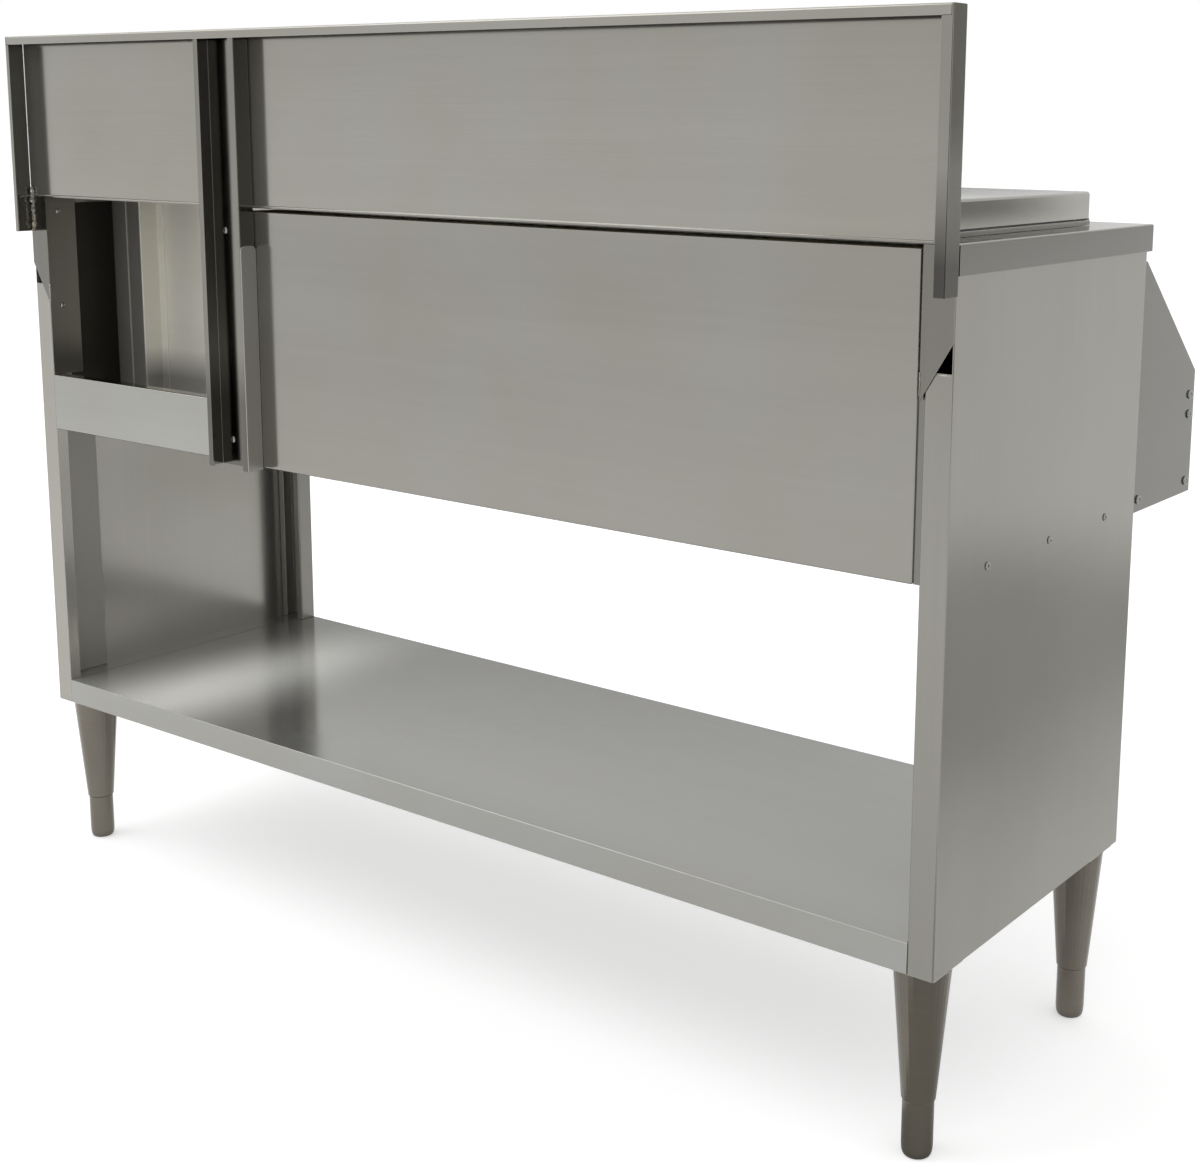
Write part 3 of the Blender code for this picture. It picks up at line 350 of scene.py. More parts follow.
class FinishTree:
    """The nodes of one finish, with short ways to add and join them."""

    def __init__(self, name):
        self.finish = bpy.data.materials.new(name)
        self.finish.use_nodes = True
        self.nodes = self.finish.node_tree.nodes
        self.links = self.finish.node_tree.links
        self.shader = self.nodes["Principled BSDF"]
        self.places = self.nodes.new("ShaderNodeTexCoord").outputs

    def join(self, value, socket):
        """Feeds a socket from another socket, or sets it to a plain value."""
        if isinstance(value, bpy.types.NodeSocket):
            self.links.new(value, socket)
        else:
            socket.default_value = value

    def two(self, kind, operation, first, second):
        """A node that works on two values."""
        node = self.nodes.new(kind)
        node.operation = operation
        self.join(first, node.inputs[0])
        self.join(second, node.inputs[1])
        return node.outputs

    def sum(self, operation, first, second=0.0):
        """One step of arithmetic on two numbers."""
        return self.two("ShaderNodeMath", operation, first, second)[0]

    def along(self, operation, first, second):
        """One step of arithmetic on two vectors."""
        outputs = self.two("ShaderNodeVectorMath", operation, first, second)
        return outputs["Value" if operation == "DOT_PRODUCT" else "Vector"]

    def sway(self, value, reach):
        """A value about one half, turned into one about zero."""
        return self.sum("MULTIPLY", self.sum("SUBTRACT", value, 0.5), reach)

    def split(self, vector):
        """The three numbers of a vector."""
        node = self.nodes.new("ShaderNodeSeparateXYZ")
        self.join(vector, node.inputs[0])
        return node.outputs

    def gather(self, x, y, z):
        """A vector of three numbers."""
        node = self.nodes.new("ShaderNodeCombineXYZ")
        for value, socket in zip((x, y, z), node.inputs):
            self.join(value, socket)
        return node.outputs[0]

    def blend(self, amount, first, second):
        """A number that goes from the first to the second."""
        node = self.nodes.new("ShaderNodeMix")
        self.join(amount, node.inputs["Factor"])
        self.join(first, node.inputs["A"])
        self.join(second, node.inputs["B"])
        return node.outputs["Result"]

    def tint(self, amount, first, second, manner="MIX"):
        """A colour that goes from the first to the second."""
        node = self.nodes.new("ShaderNodeMix")
        node.data_type = "RGBA"
        node.blend_type = manner
        self.join(amount, node.inputs["Factor"])
        self.join(first, node.inputs[6])
        self.join(second, node.inputs[7])
        return node.outputs[2]

    def shade(self, paint, amount):
        """A colour made darker or lighter by a number."""
        return self.tint(1.0, paint, self.gather(amount, amount, amount), "MULTIPLY")

    def cloud(self, vector, scale, detail, roughness):
        """Soft random values about one half. Three scales draw them out by another length along each axis."""
        if isinstance(scale, tuple):
            vector, scale = self.along("MULTIPLY", vector, scale), 1.0
        node = self.nodes.new("ShaderNodeTexNoise")
        self.join(vector, node.inputs["Vector"])
        for name, number in (("Scale", scale), ("Detail", detail), ("Roughness", roughness)):
            node.inputs[name].default_value = number
        return node.outputs["Fac"]

    def spread(self, value, low, high, to_low=0.0, to_high=1.0):
        """A value stretched from one range to another, and held inside it."""
        node = self.nodes.new("ShaderNodeMapRange")
        self.join(value, node.inputs["Value"])
        for name, number in (("From Min", low), ("From Max", high), ("To Min", to_low), ("To Max", to_high)):
            node.inputs[name].default_value = number
        return node.outputs["Result"]

    def painted_edge_highlight(self, paint, reach, strength, bright):
        """Painted highlight: a colour blended into a brighter one on the edges of a piece, broken up a little, as the
        light that rounded edges catch.
        """
        round_edge = self.nodes.new("ShaderNodeBevel")
        round_edge.samples = 4
        round_edge.inputs["Radius"].default_value = reach
        flat = self.nodes.new("ShaderNodeNewGeometry")
        turn = self.along("DOT_PRODUCT", round_edge.outputs["Normal"], flat.outputs["Normal"])
        broken = self.spread(self.cloud(self.places["Object"], 90, 2.0, 0.5), 0.3, 0.6, 0.45)
        edge = self.sum("MULTIPLY", self.spread(turn, 0.995, 0.80), broken)
        return self.tint(self.sum("MULTIPLY", edge, strength), paint, bright)

    def dress(self, paint, rough, height, strength, distance, metal=1.0):
        """Feeds colour, roughness and a relief into the shader, and hands the finish over."""
        self.join(paint, self.shader.inputs["Base Color"])
        self.join(rough, self.shader.inputs["Roughness"])
        self.shader.inputs["Metallic"].default_value = metal
        relief = self.nodes.new("ShaderNodeBump")
        relief.inputs["Strength"].default_value = strength
        relief.inputs["Distance"].default_value = distance
        self.join(height, relief.inputs["Height"])
        self.join(relief.outputs["Normal"], self.shader.inputs["Normal"])
        return self.finish

    def show(self, both):
        """Puts a node that joins two shaders on the surface, and hands the finish over."""
        self.join(both.outputs[0], self.nodes["Material Output"].inputs["Surface"])
        return self.finish


def grain_place(tree, run):
    """Where a point lies along and across the grain, so that the grain follows each face of a folded sheet."""
    place = tree.split(tree.places["Object"])
    looks = tree.split(tree.places["Normal"])
    first, second, third = {"X": (0, 1, 2), "Y": (1, 0, 2), "Z": (2, 1, 0)}[run]
    end_on = tree.sum("GREATER_THAN", tree.sum("ABSOLUTE", looks[first]), 0.7)
    along = tree.blend(end_on, place[first], place[second])
    beside = tree.sum("MULTIPLY", place[second], tree.sum("SUBTRACT", 1.0, end_on))
    return along, tree.sum("ADD", place[third], beside)


def brushed_finish(name, base, gloss, run, streak=1.0, metal=1.0, foot=None):
    """Brushed sheet steel: long grain, broader streaks, handling marks, a painted highlight on the edges and perhaps
    painted shade at its foot.
    """
    tree = FinishTree(name)
    along, across = grain_place(tree, run)
    place = tree.places["Object"]

    def streaks(reach, pitch, detail):
        vector = tree.gather(tree.sum("MULTIPLY", along, 1 / reach), tree.sum("MULTIPLY", across, 1 / pitch), 0.0)
        return tree.cloud(vector, 1.0, detail, 0.6)

    hair = streaks(0.14, 0.0011, 3.0)
    line = streaks(0.45, 0.0075, 2.0)
    band = streaks(1.40, 0.060, 1.0)
    smudge = tree.cloud(place, 5.5, 3.0, 0.55)
    amount = tree.sway(hair, 0.07 * streak)
    for marks, reach in ((line, 0.07 * streak), (band, 0.10 * streak), (smudge, 0.16)):
        amount = tree.sum("ADD", amount, tree.sway(marks, reach))
    amount = tree.sum("ADD", amount, 1.0)
    # Painted shade: darker towards the foot of the piece, below the heights that the foot gives.
    if foot:
        amount = tree.sum("MULTIPLY", amount, tree.spread(tree.split(place)[2], *foot, 1.0))
    warm, cool = toned(base, (1.02, 1.0, 0.96)), toned(base, (0.98, 1.0, 1.04))
    paint = tree.shade(tree.tint(smudge, warm, cool), amount)
    # Painted highlight on the edges.
    paint = tree.painted_edge_highlight(paint, 0.0011, 0.5, shaded(base, 1.7))
    rough = tree.sum("ADD", tree.sum("ADD", gloss, tree.sway(smudge, 0.10)), tree.sway(hair, 0.06))
    return tree.dress(paint, rough, hair, 0.10, 0.00008, metal)


def turned_finish(name, base, gloss, pitch):
    """Turned steel: fine rings across the length, a little soiling, a painted highlight on the edges and a dark sole.
    """
    tree = FinishTree(name)
    place = tree.places["Object"]
    rings = tree.cloud(place, (18, 18, 1 / pitch), 3.0, 0.65)
    drift = tree.cloud(place, (30, 30, 9), 2.0, 0.5)
    amount = tree.sum("ADD", tree.sum("MULTIPLY", rings, 0.26), 0.87)
    amount = tree.sum("MULTIPLY", amount, tree.sum("ADD", tree.sum("MULTIPLY", drift, 0.30), 0.85))
    # Painted highlight on the edges.
    paint = tree.painted_edge_highlight(tree.shade(shaded(base), amount), 0.0008, 0.5, shaded(base, 1.7))
    sole = tree.spread(tree.split(place)[2], 0.0045, 0.0085, 0.12, 0.0)
    paint = tree.tint(sole, paint, (0.02, 0.018, 0.016, 1))
    rough = tree.sum("ADD", tree.sum("MULTIPLY", drift, 0.16), gloss - 0.08)
    return tree.dress(paint, rough, rings, 0.35, 0.00010)


def bright_finish(name, base):
    """Polished fastenings and fittings with fine scuffs and dull hollows."""
    tree = FinishTree(name)
    scuff = tree.cloud(tree.places["Object"], 900, 3.0, 0.6)
    dull = tree.cloud(tree.places["Object"], 160, 2.0, 0.5)
    paint = tree.shade(shaded(base), tree.sum("ADD", tree.sum("MULTIPLY", dull, 0.4), 0.8))
    # Painted highlight on the edges of the fittings.
    paint = tree.painted_edge_highlight(paint, 0.0004, 0.4, (0.8, 0.8, 0.78, 1))
    return tree.dress(paint, tree.spread(scuff, 0.3, 0.7, 0.12, 0.30), scuff, 0.15, 0.00005)


def weld_finish(name, base):
    """A weld bead as laid: grey oxide with straw heat tints, and a painted highlight on the crests of its ripples."""
    tree = FinishTree(name)
    lumps = tree.cloud(tree.places["Object"], 420, 3.0, 0.6)
    heat = tree.cloud(tree.places["Object"], 70, 1.0, 0.5)
    paint = tree.tint(tree.spread(heat, 0.35, 0.65), shaded(base), (0.26, 0.20, 0.12, 1))
    # Painted highlight: the crests of the relief are lightened.
    paint = tree.tint(tree.spread(lumps, 0.50, 0.62), paint, (0.55, 0.55, 0.54, 1))
    return tree.dress(paint, tree.spread(lumps, 0.3, 0.7, 0.28, 0.60), lumps, 0.5, 0.0003)


def nylon_finish(name, base):
    """Moulded black nylon with a fine grain and pale scuffs."""
    tree = FinishTree(name)
    grain = tree.cloud(tree.places["Object"], 1400, 2.0, 0.6)
    scuff = tree.cloud(tree.places["Object"], (4, 60, 60), 3.0, 0.6)
    paint = tree.tint(tree.spread(scuff, 0.55, 0.75), shaded(base), (*[part * 3 + 0.02 for part in base], 1))
    return tree.dress(paint, tree.spread(grain, 0.3, 0.7, 0.42, 0.58), grain, 0.2, 0.00008, 0.0)


def foam_finish(name, base):
    """Poured foam: small cells, darkened with painted shade in their hollows, under a paler, uneven skin."""
    tree = FinishTree(name)
    cells = tree.nodes.new("ShaderNodeTexVoronoi")
    tree.join(tree.places["Object"], cells.inputs["Vector"])
    cells.inputs["Scale"].default_value = 700
    hollow = cells.outputs["Distance"]
    skin = tree.cloud(tree.places["Object"], 22, 3.0, 0.6)
    paint = tree.tint(skin, shaded(base), shaded(base, 0.8))
    # Painted shade: the colour darkens in the hollows of the cells.
    paint = tree.tint(tree.spread(hollow, 0.0, 0.6, 0.25, 0.0), paint, shaded(base, 0.5))
    return tree.dress(paint, tree.spread(skin, 0.3, 0.7, 0.75, 0.92), hollow, 0.4, 0.0004, 0.0)


def give_finish(piece, finish):
    """Puts one finish on a whole piece."""
    if not piece.material_slots:
        piece.data.materials.append(finish)
    for slot in piece.material_slots:
        slot.material = finish


# Shapes


def piece_of(name, mesh, finish, body, stands_for=()):
    """Makes a piece from a mesh, with its finish, hangs it on what carries it, and hides the solids that it stands
    for.
    """
    data = bpy.data.meshes.new(name)
    mesh.to_mesh(data)
    mesh.free()
    piece = bpy.data.objects.new(name, data)
    bpy.context.scene.collection.objects.link(piece)
    give_finish(piece, bpy.data.materials[finish])
    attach(piece, body)
    if stands_for:
        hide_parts(*stands_for)
    return piece


def smooth_over(data, sharp=SHARP):
    """Shades a mesh smooth up to its sharp edges."""
    data.shade_smooth()
    data.set_sharp_from_angle(angle=math.radians(sharp))


def set_down(name, mesh, finish, body, stands_for=(), sharp=SHARP):
    """Makes a closed piece from a mesh, whose faces are turned to look outwards."""
    bmesh.ops.recalc_face_normals(mesh, faces=mesh.faces)
    piece = piece_of(name, mesh, finish, body, stands_for)
    smooth_over(piece.data, sharp)
    return piece


def settle(piece):
    """Works a piece's modifiers into its mesh."""
    graph = bpy.context.evaluated_depsgraph_get()
    made = bpy.data.meshes.new_from_object(piece.evaluated_get(graph))
    piece.modifiers.clear()
    piece.data = made
    smooth_over(made)


def sheet_piece(name, mesh, finish, body, thickness, offset, stands_for=()):
    """Makes a sheet from an open surface. Offset -1 lays its thickness behind the faces, 0 on both sides."""
    piece = piece_of(name, mesh, finish, body, stands_for)
    sheet = piece.modifiers.new("sheet", "SOLIDIFY")
    sheet.thickness = thickness
    sheet.offset = offset
    sheet.use_even_offset = True
    settle(piece)
    return piece


def turn_profile(mesh, profile, sides, lay=Matrix()):
    """Adds a shape turned about its own Z from pairs of radius and height, laid in place by a matrix."""
    loops = []
    for radius, height in profile:
        if radius == 0:
            loops.append([mesh.verts.new(lay @ Vector((0, 0, height)))] * sides)
            continue
        loop = []
        for step in range(sides):
            angle = math.tau * step / sides
            loop.append(mesh.verts.new(lay @ Vector((radius * math.cos(angle), radius * math.sin(angle), height))))
        loops.append(loop)
    for lower, upper in zip(loops, loops[1:]):
        for step in range(sides):
            after = (step + 1) % sides
            corners = []
            for corner in (lower[step], lower[after], upper[after], upper[step]):
                if corner not in corners:
                    corners.append(corner)
            if len(corners) > 2:
                mesh.faces.new(corners)


def close_tube(mesh, rings):
    """Adds the walls between rings of points, and closes both ends."""
    mesh.faces.new(list(reversed(rings[0])))
    mesh.faces.new(rings[-1])
    sides = len(rings[0])
    for near, far in zip(rings, rings[1:]):
        for step in range(sides):
            after = (step + 1) % sides
            mesh.faces.new((near[step], near[after], far[after], far[step]))


def sweep(mesh, points, radii, sides):
    """Adds a closed bar that follows points, as thick as the radius given for each of them."""
    rings = []
    up = Vector((0, 0, 1))
    for index, point in enumerate(points):
        ahead = points[min(index + 1, len(points) - 1)] - points[max(index - 1, 0)]
        ahead.normalize()
        if abs(ahead.dot(up)) > 0.95:
            up = Vector((0, 1, 0)) if abs(ahead.y) < 0.9 else Vector((1, 0, 0))
        side = ahead.cross(up).normalized()
        rise = side.cross(ahead).normalized()
        ring = []
        for step in range(sides):
            angle = math.tau * step / sides
            spoke = side * math.cos(angle) + rise * math.sin(angle)
            ring.append(mesh.verts.new(point + spoke * radii[index]))
        rings.append(ring)
    close_tube(mesh, rings)


def open_box(xs, ys, zs, left_open):
    """The sheets of a box without the sides that are left open, as a surface."""
    mesh = bmesh.new()
    corner = {}
    for i in (0, 1):
        for j in (0, 1):
            for k in (0, 1):
                corner[i, j, k] = mesh.verts.new((xs[i], ys[j], zs[k]))
    sides = {
        "low X": [(0, 0, 0), (0, 0, 1), (0, 1, 1), (0, 1, 0)],
        "high X": [(1, 0, 0), (1, 1, 0), (1, 1, 1), (1, 0, 1)],
        "low Y": [(0, 0, 0), (1, 0, 0), (1, 0, 1), (0, 0, 1)],
        "high Y": [(0, 1, 0), (0, 1, 1), (1, 1, 1), (1, 1, 0)],
        "low Z": [(0, 0, 0), (0, 1, 0), (1, 1, 0), (1, 0, 0)],
        "high Z": [(0, 0, 1), (1, 0, 1), (1, 1, 1), (0, 1, 1)],
    }
    for name, places in sides.items():
        if name not in left_open:
            mesh.faces.new([corner[place] for place in places])
    return mesh


def round_bends(mesh, radius, steps, bends=None):
    """Rounds the bends given, or else every bend between two sheets of a surface."""
    if bends is None:
        bends = [edge for edge in mesh.edges if len(edge.link_faces) == 2]
    bmesh.ops.bevel(
        mesh,
        geom=bends,
        offset=radius,
        segments=steps,
        profile=0.5,
        affect="EDGES",
        clamp_overlap=True,
    )


def cut_away(piece, cutter):
    """Cuts the shape of a mesh out of a piece."""
    data = bpy.data.meshes.new("cutter")
    bmesh.ops.recalc_face_normals(cutter, faces=cutter.faces)
    cutter.to_mesh(data)
    cutter.free()
    tool = bpy.data.objects.new("cutter", data)
    bpy.context.scene.collection.objects.link(tool)
    cut = piece.modifiers.new("cut", "BOOLEAN")
    cut.operation = "DIFFERENCE"
    cut.solver = "EXACT"
    cut.object = tool
    settle(piece)
    bpy.data.objects.remove(tool, do_unlink=True)
    bpy.data.meshes.remove(data)


def middle(node):
    """The middle of a solid's box."""
    low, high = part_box(node)
    return (low + high) / 2


def laid(place, axis, sign=1, turn=0.0):
    """Lays a shape at a place with its own Z along X or Y, and turned about that axis."""
    facing = {
        "X": Matrix.Rotation(sign * math.pi / 2, 4, "Y"),
        "Y": Matrix.Rotation(-sign * math.pi / 2, 4, "X"),
    }[axis]
    return Matrix.Translation(place) @ facing @ Matrix.Rotation(turn, 4, "Z")


def break_edges(piece, width, steps=1):
    """Breaks the sharp edges of a piece."""
    rounding = piece.modifiers.new("edge round", "BEVEL")
    rounding.width = width
    rounding.segments = steps
    rounding.limit_method = "ANGLE"
    rounding.angle_limit = math.radians(BROKEN_FROM)


# The work, one operator for each piece or group of like pieces


class STATION_OT_finishes(Operator):
    """Makes the finishes and puts them on the carried-over solids"""

    bl_idname = "station.finishes"
    bl_label = "Steel finishes"

    def execute(self, context):
        colours = context.scene.station_colours
        sheet, pale = tuple(colours.sheet), tuple(colours.pale)
        settings = {"sheet": (sheet, colours.sheet_gloss), "pale": (pale, colours.pale_gloss)}
        for name, setting, amount, rough, run, rest in BRUSHED:
            base, gloss = settings[setting]
            brushed_finish(name, shaded(base, amount)[:3], gloss if rough is None else rough, run, **rest)
        turned_finish("turned leg", tuple(colours.leg), 0.20, 0.0009)
        bright_finish("bright fittings", tuple(colours.bright))
        weld_finish("weld", sheet)
        nylon_finish("black nylon", tuple(colours.nylon))
        foam_finish("foam", tuple(colours.foam))
        for node, slot in SLOT_OF.items():
            give_finish(frame["nodes"][node], bpy.data.materials[OWN_FINISH.get(node, SLOT_FINISH[slot])])
        return {"FINISHED"}


class STATION_OT_bends(Operator):
    """Makes the folded sheets again with round bends, outside and inside"""

    bl_idname = "station.bends"
    bl_label = "Folded sheets"

    def execute(self, context):
        sizes = context.scene.station_sheets
        for node in FOLDED_SHEETS:
            solid = frame["nodes"][node]
            mesh = bmesh.new()
            mesh.from_mesh(solid.data)
            bmesh.ops.remove_doubles(mesh, verts=mesh.verts, dist=0.000001)
            bmesh.ops.dissolve_limit(mesh, angle_limit=math.radians(0.5), verts=mesh.verts, edges=mesh.edges)
            outside, inside = self.bends(mesh, node, 2.2 * sizes.bend_round)
            round_bends(mesh, sizes.bend_round, 4, [edge for edge in outside if edge.is_valid])
            round_bends(mesh, sizes.bend_round - sizes.sheet, 4, [edge for edge in inside if edge.is_valid])
            finish = solid.material_slots[0].material.name
            piece = set_down(node + "_folded", mesh, finish, "cabinet", (node,), SHARP_ON_SHEET)
            break_edges(piece, sizes.edge_round)
            level = piece.modifiers.new("level faces", "WEIGHTED_NORMAL")
            level.mode = "FACE_AREA"
            level.weight = 100
            level.keep_sharp = True
        return {"FINISHED"}

    def bends(self, mesh, node, room):
        """The outside and the inside bends of a sheet, without the ones at the undershelf's ends."""
        skin = BVHTree.FromBMesh(mesh)
        shelf_end = 0.99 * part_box("undershelf")[1].x
        outside, inside = [], []
        for edge in mesh.edges:
            if len(edge.link_faces) != 2 or edge.calc_face_angle(0) < math.radians(BEND_FROM):
                continue
            if node == "undershelf" and min(abs(vert.co.x) for vert in edge.verts) > shelf_end:
                continue
            if self.reaches(skin, edge, room):
                (outside if edge.is_convex else inside).append(edge)
        return outside, inside

    def reaches(self, skin, edge, distance):
        """Whether both faces of an edge go on for a distance from its middle."""
        centre = (edge.verts[0].co + edge.verts[1].co) / 2
        for loop in edge.link_loops:
            run = loop.link_loop_next.vert.co - loop.vert.co
            point = centre + loop.face.normal.cross(run).normalized() * distance
            if skin.find_nearest(point, 0.00005)[0] is None:
                return False
        return True


class STATION_OT_edges(Operator):
    """Breaks the cut edges of the sheets that are kept as they are"""

    bl_idname = "station.edges"
    bl_label = "Broken sheet edges"

    def execute(self, context):
        sizes = context.scene.station_sheets
        for node, slot in SLOT_OF.items():
            if slot not in ("brushed_steel", "light_steel") or node in FOLDED_SHEETS + REMADE_SHEETS:
                continue
            if node == "bin_rim":
                break_edges(frame["nodes"][node], sizes.rim_round, 3)
            else:
                break_edges(frame["nodes"][node], sizes.edge_round)
        return {"FINISHED"}


class STATION_OT_lids(Operator):
    """Makes the two sliding lids as folded sheet with rounded bends"""

    bl_idname = "station.lids"
    bl_label = "Sliding lids"

    def execute(self, context):
        sizes = context.scene.station_sheets
        for name, inner_end in (("upper_lid", "high X"), ("lower_lid", "low X")):
            low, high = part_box(name)
            mesh = open_box((low.x, high.x), (low.y, high.y), (low.z, high.z), ("low Z", inner_end))
            round_bends(mesh, sizes.lid_bend, 5)
            sheet_piece(name + "_sheet", mesh, "brushed along", name, sizes.sheet, -1, (name,))
        return {"FINISHED"}


def coved_tray(name, node, flange, cove, sheet):
    """An open tray with coved corners and a flat flange turned out round its rim."""
    low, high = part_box(node)
    xs, ys = (low.x + flange, high.x - flange), (low.y + flange, high.y - flange)
    mesh = open_box(xs, ys, (low.z + sheet, high.z), ("high Z",))
    bmesh.ops.reverse_faces(mesh, faces=mesh.faces)
    round_bends(mesh, cove, 6)
    rim = [edge for edge in mesh.edges if edge.is_boundary]
    made = bmesh.ops.extrude_edge_only(mesh, edges=rim)
    for vert in [item for item in made["geom"] if isinstance(item, bmesh.types.BMVert)]:
        core_x = min(max(vert.co.x, xs[0] + cove), xs[1] - cove)
        core_y = min(max(vert.co.y, ys[0] + cove), ys[1] - cove)
        away = Vector((vert.co.x - core_x, vert.co.y - core_y, 0)).normalized()
        vert.co += away * flange
    return sheet_piece(name, mesh, "satin well", "cabinet", sheet, -1, (node,))


class STATION_OT_trays(Operator):
    """Makes the ice bin's liner and the bottle well with coved corners"""

    bl_idname = "station.trays"
    bl_label = "Ice bin liner and bottle well"

    def execute(self, context):
        sizes = context.scene.station_sheets
        liner = coved_tray("ice_bin_tray", "ice_bin_liner", sizes.bin_flange, sizes.tray_cove, sizes.sheet)
        bore, half = sizes.drain_bore, 0.03
        place = Matrix.Translation((*middle("drain_fitting").xy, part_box("ice_bin_liner")[0].z))
        cutter = bmesh.new()
        turn_profile(cutter, [(0, -half), (bore, -half), (bore, half), (0, half)], BORE_SIDES, place)
        cut_away(liner, cutter)
        coved_tray("bottle_well_tray", "bottle_well", sizes.well_flange, sizes.tray_cove, sizes.sheet)
        return {"FINISHED"}


def folded_strip(name, finish, profile, way, sheet):
    """A strip of sheet folded along a profile, as long as the way that it is drawn out."""
    mesh = bmesh.new()
    near = [mesh.verts.new(point) for point in profile]
    far = [mesh.verts.new(Vector(point) + Vector(way)) for point in profile]
    for index in range(len(profile) - 1):
        mesh.faces.new((near[index], near[index + 1], far[index + 1], far[index]))
    if len(profile) > 2:
        round_bends(mesh, TRIM_BEND, 4)
    sheet_piece(name, mesh, finish, "cabinet", sheet, 0)


def standing_strip(name, finish, plan, foot, height, sheet):
    """A folded strip that stands upright on a plan of points."""
    folded_strip(name, finish, [(x, y, foot) for x, y in plan], (0, 0, height), sheet)


class STATION_OT_strips(Operator):
    """Makes the strips at the shelf's ends and on the channel, the well's back plate, and the dark sheet that paints
    the bay's shade
    """

    bl_idname = "station.strips"
    bl_label = "Closing strips"

    def execute(self, context):
        sheet = context.scene.station_sheets.sheet
        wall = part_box("side_panel_right")[1].x - sheet
        for side, sign in SIDE_OF.items():
            self.shelf_end(side, sign, sheet, wall)
            if side == "left":
                self.jacket_end(sign, sheet)
        self.channel_side(sheet)
        self.bay(sheet, wall)
        return {"FINISHED"}

    def shelf_end(self, side, sign, sheet, wall):
        """The strip that closes one end of the shelf, and the stiffener that stands on it in the corner."""
        low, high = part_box("undershelf")
        inner, outer, top = sign * (high.x - SHELF_LAP), sign * wall, high.z - sheet / 2
        profile = [(inner, low.y + sheet, top), (outer, low.y + sheet, top)]
        depth = high.y - low.y - 2 * sheet
        folded_strip(f"shelf_end_strip_{side}", "satin shelf", profile, (0, depth, 0), sheet)
        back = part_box(f"side_panel_{side}")[1].y - 2 * sheet
        step, close = sign * (wall - STIFFENER_STEP), sign * (wall - sheet)
        first, second, third = (back - fold for fold in STIFFENER_FOLDS)
        plan = [(step, back), (step, first), (close, second), (close, third)]
        standing_strip(f"corner_stiffener_{side}", "dim mill", plan, high.z + sheet, STIFFENER_HEIGHT, sheet)

    def jacket_end(self, sign, sheet):
        """The strip that closes the jacket's left end."""
        low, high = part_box("bin_jacket")
        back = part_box("side_panel_left")[1].y - 2 * sheet - sheet / 2
        plan = [(sign * end, back) for end in JACKET_STRIP_ENDS]
        standing_strip("jacket_end_strip", "upright painted darker", plan, low.z, high.z - low.z, sheet)

    def channel_side(self, sheet):
        """The plate on the channel's side, with rounded upper corners."""
        low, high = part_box("rear_channel_post")
        x, y = low.x - sheet / 2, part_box("bin_jacket")[1].y + 0.0004
        foot, top = low.z + 0.0006, low.z + CHANNEL_STRIP_HEIGHT
        edge = [(high.y - 0.0004, foot), (high.y - 0.0004, top - 0.004), (high.y - 0.0016, top - 0.0012)]
        edge += [(high.y - 0.0044, top), (y + 0.0050, top), (y + 0.0022, top - 0.0008), (y, top - 0.0036), (y, foot)]
        mesh = bmesh.new()
        mesh.faces.new([mesh.verts.new((x, across, up)) for across, up in edge])
        sheet_piece("channel_side_strip", mesh, "soft mill", "cabinet", sheet, 0)

    def bay(self, sheet, wall):
        """The strip that closes the bay, the plate behind the well, and a dark sheet on the side panel: painted shade
        for the cavity behind the bay.
        """
        low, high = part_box("well_bracket")
        y, height = high.y - sheet / 2, high.z - low.z
        hem, step, back = high.x + sheet / 4, high.x + CLOSING_WIDTH, y + CLOSING_STEP
        plan = [(hem, y - CLOSING_HEM), (hem, y), (step, y), (step, back), (wall, back)]
        standing_strip("bay_closing_strip", "dim mill", plan, low.z, height, sheet)
        plate = low.y + 0.0006
        plan = [(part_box("bin_jacket")[1].x + WELL_PLATE_GAP, plate), (low.x - sheet, plate)]
        standing_strip("well_back_plate", "mill sheet", plan, low.z + sheet, height - 0.004, sheet)
        # A nearly black sheet where there is only shade: painted shade.
        x = wall - sheet / 2 - 0.0004
        plan = [(x, y + 0.0030), (x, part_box("bay_side_angle")[0].y - 0.0010)]
        standing_strip("bay_shade_sheet", "shaded steel", plan, low.z, height - 0.003, sheet)


class STATION_OT_feet(Operator):
    """Makes the four bullet feet with rounded soles and threaded stems"""

    bl_idname = "station.feet"
    bl_label = "Leveling feet"

    def execute(self, context):
        sizes = context.scene.station_fastenings
        pitch = sizes.thread_pitch
        for end in ("front", "rear"):
            for side in SIDE_OF:
                node = f"leveling_foot_{end}_{side}"
                low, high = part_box(node)
                radius = (high.x - low.x) / 2
                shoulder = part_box(f"leg_{end}_{side}")[0].z - 0.0004
                profile = [*FOOT_TIP, (radius, FOOT_TIP_HEIGHT)]
                profile += [(radius, shoulder - 0.0008), (radius - 0.0006, shoulder), (FOOT_STEM, shoulder)]
                height = shoulder + 0.001
                while height < high.z - 2 * pitch:
                    profile += [(FOOT_STEM - THREAD_DEPTH, height + pitch * 0.35), (FOOT_STEM, height + pitch)]
                    height += pitch
                profile += [(FOOT_STEM - 0.001, high.z), (0, high.z)]
                mesh = bmesh.new()
                turn_profile(mesh, profile, sizes.round_sides, Matrix.Translation((*middle(node).xy, 0)))
                body = f"foot_{end}_{side}"
                set_down(node + "_turned", mesh, "turned leg", body, (node,), SHARP_ON_FOOT)
        return {"FINISHED"}


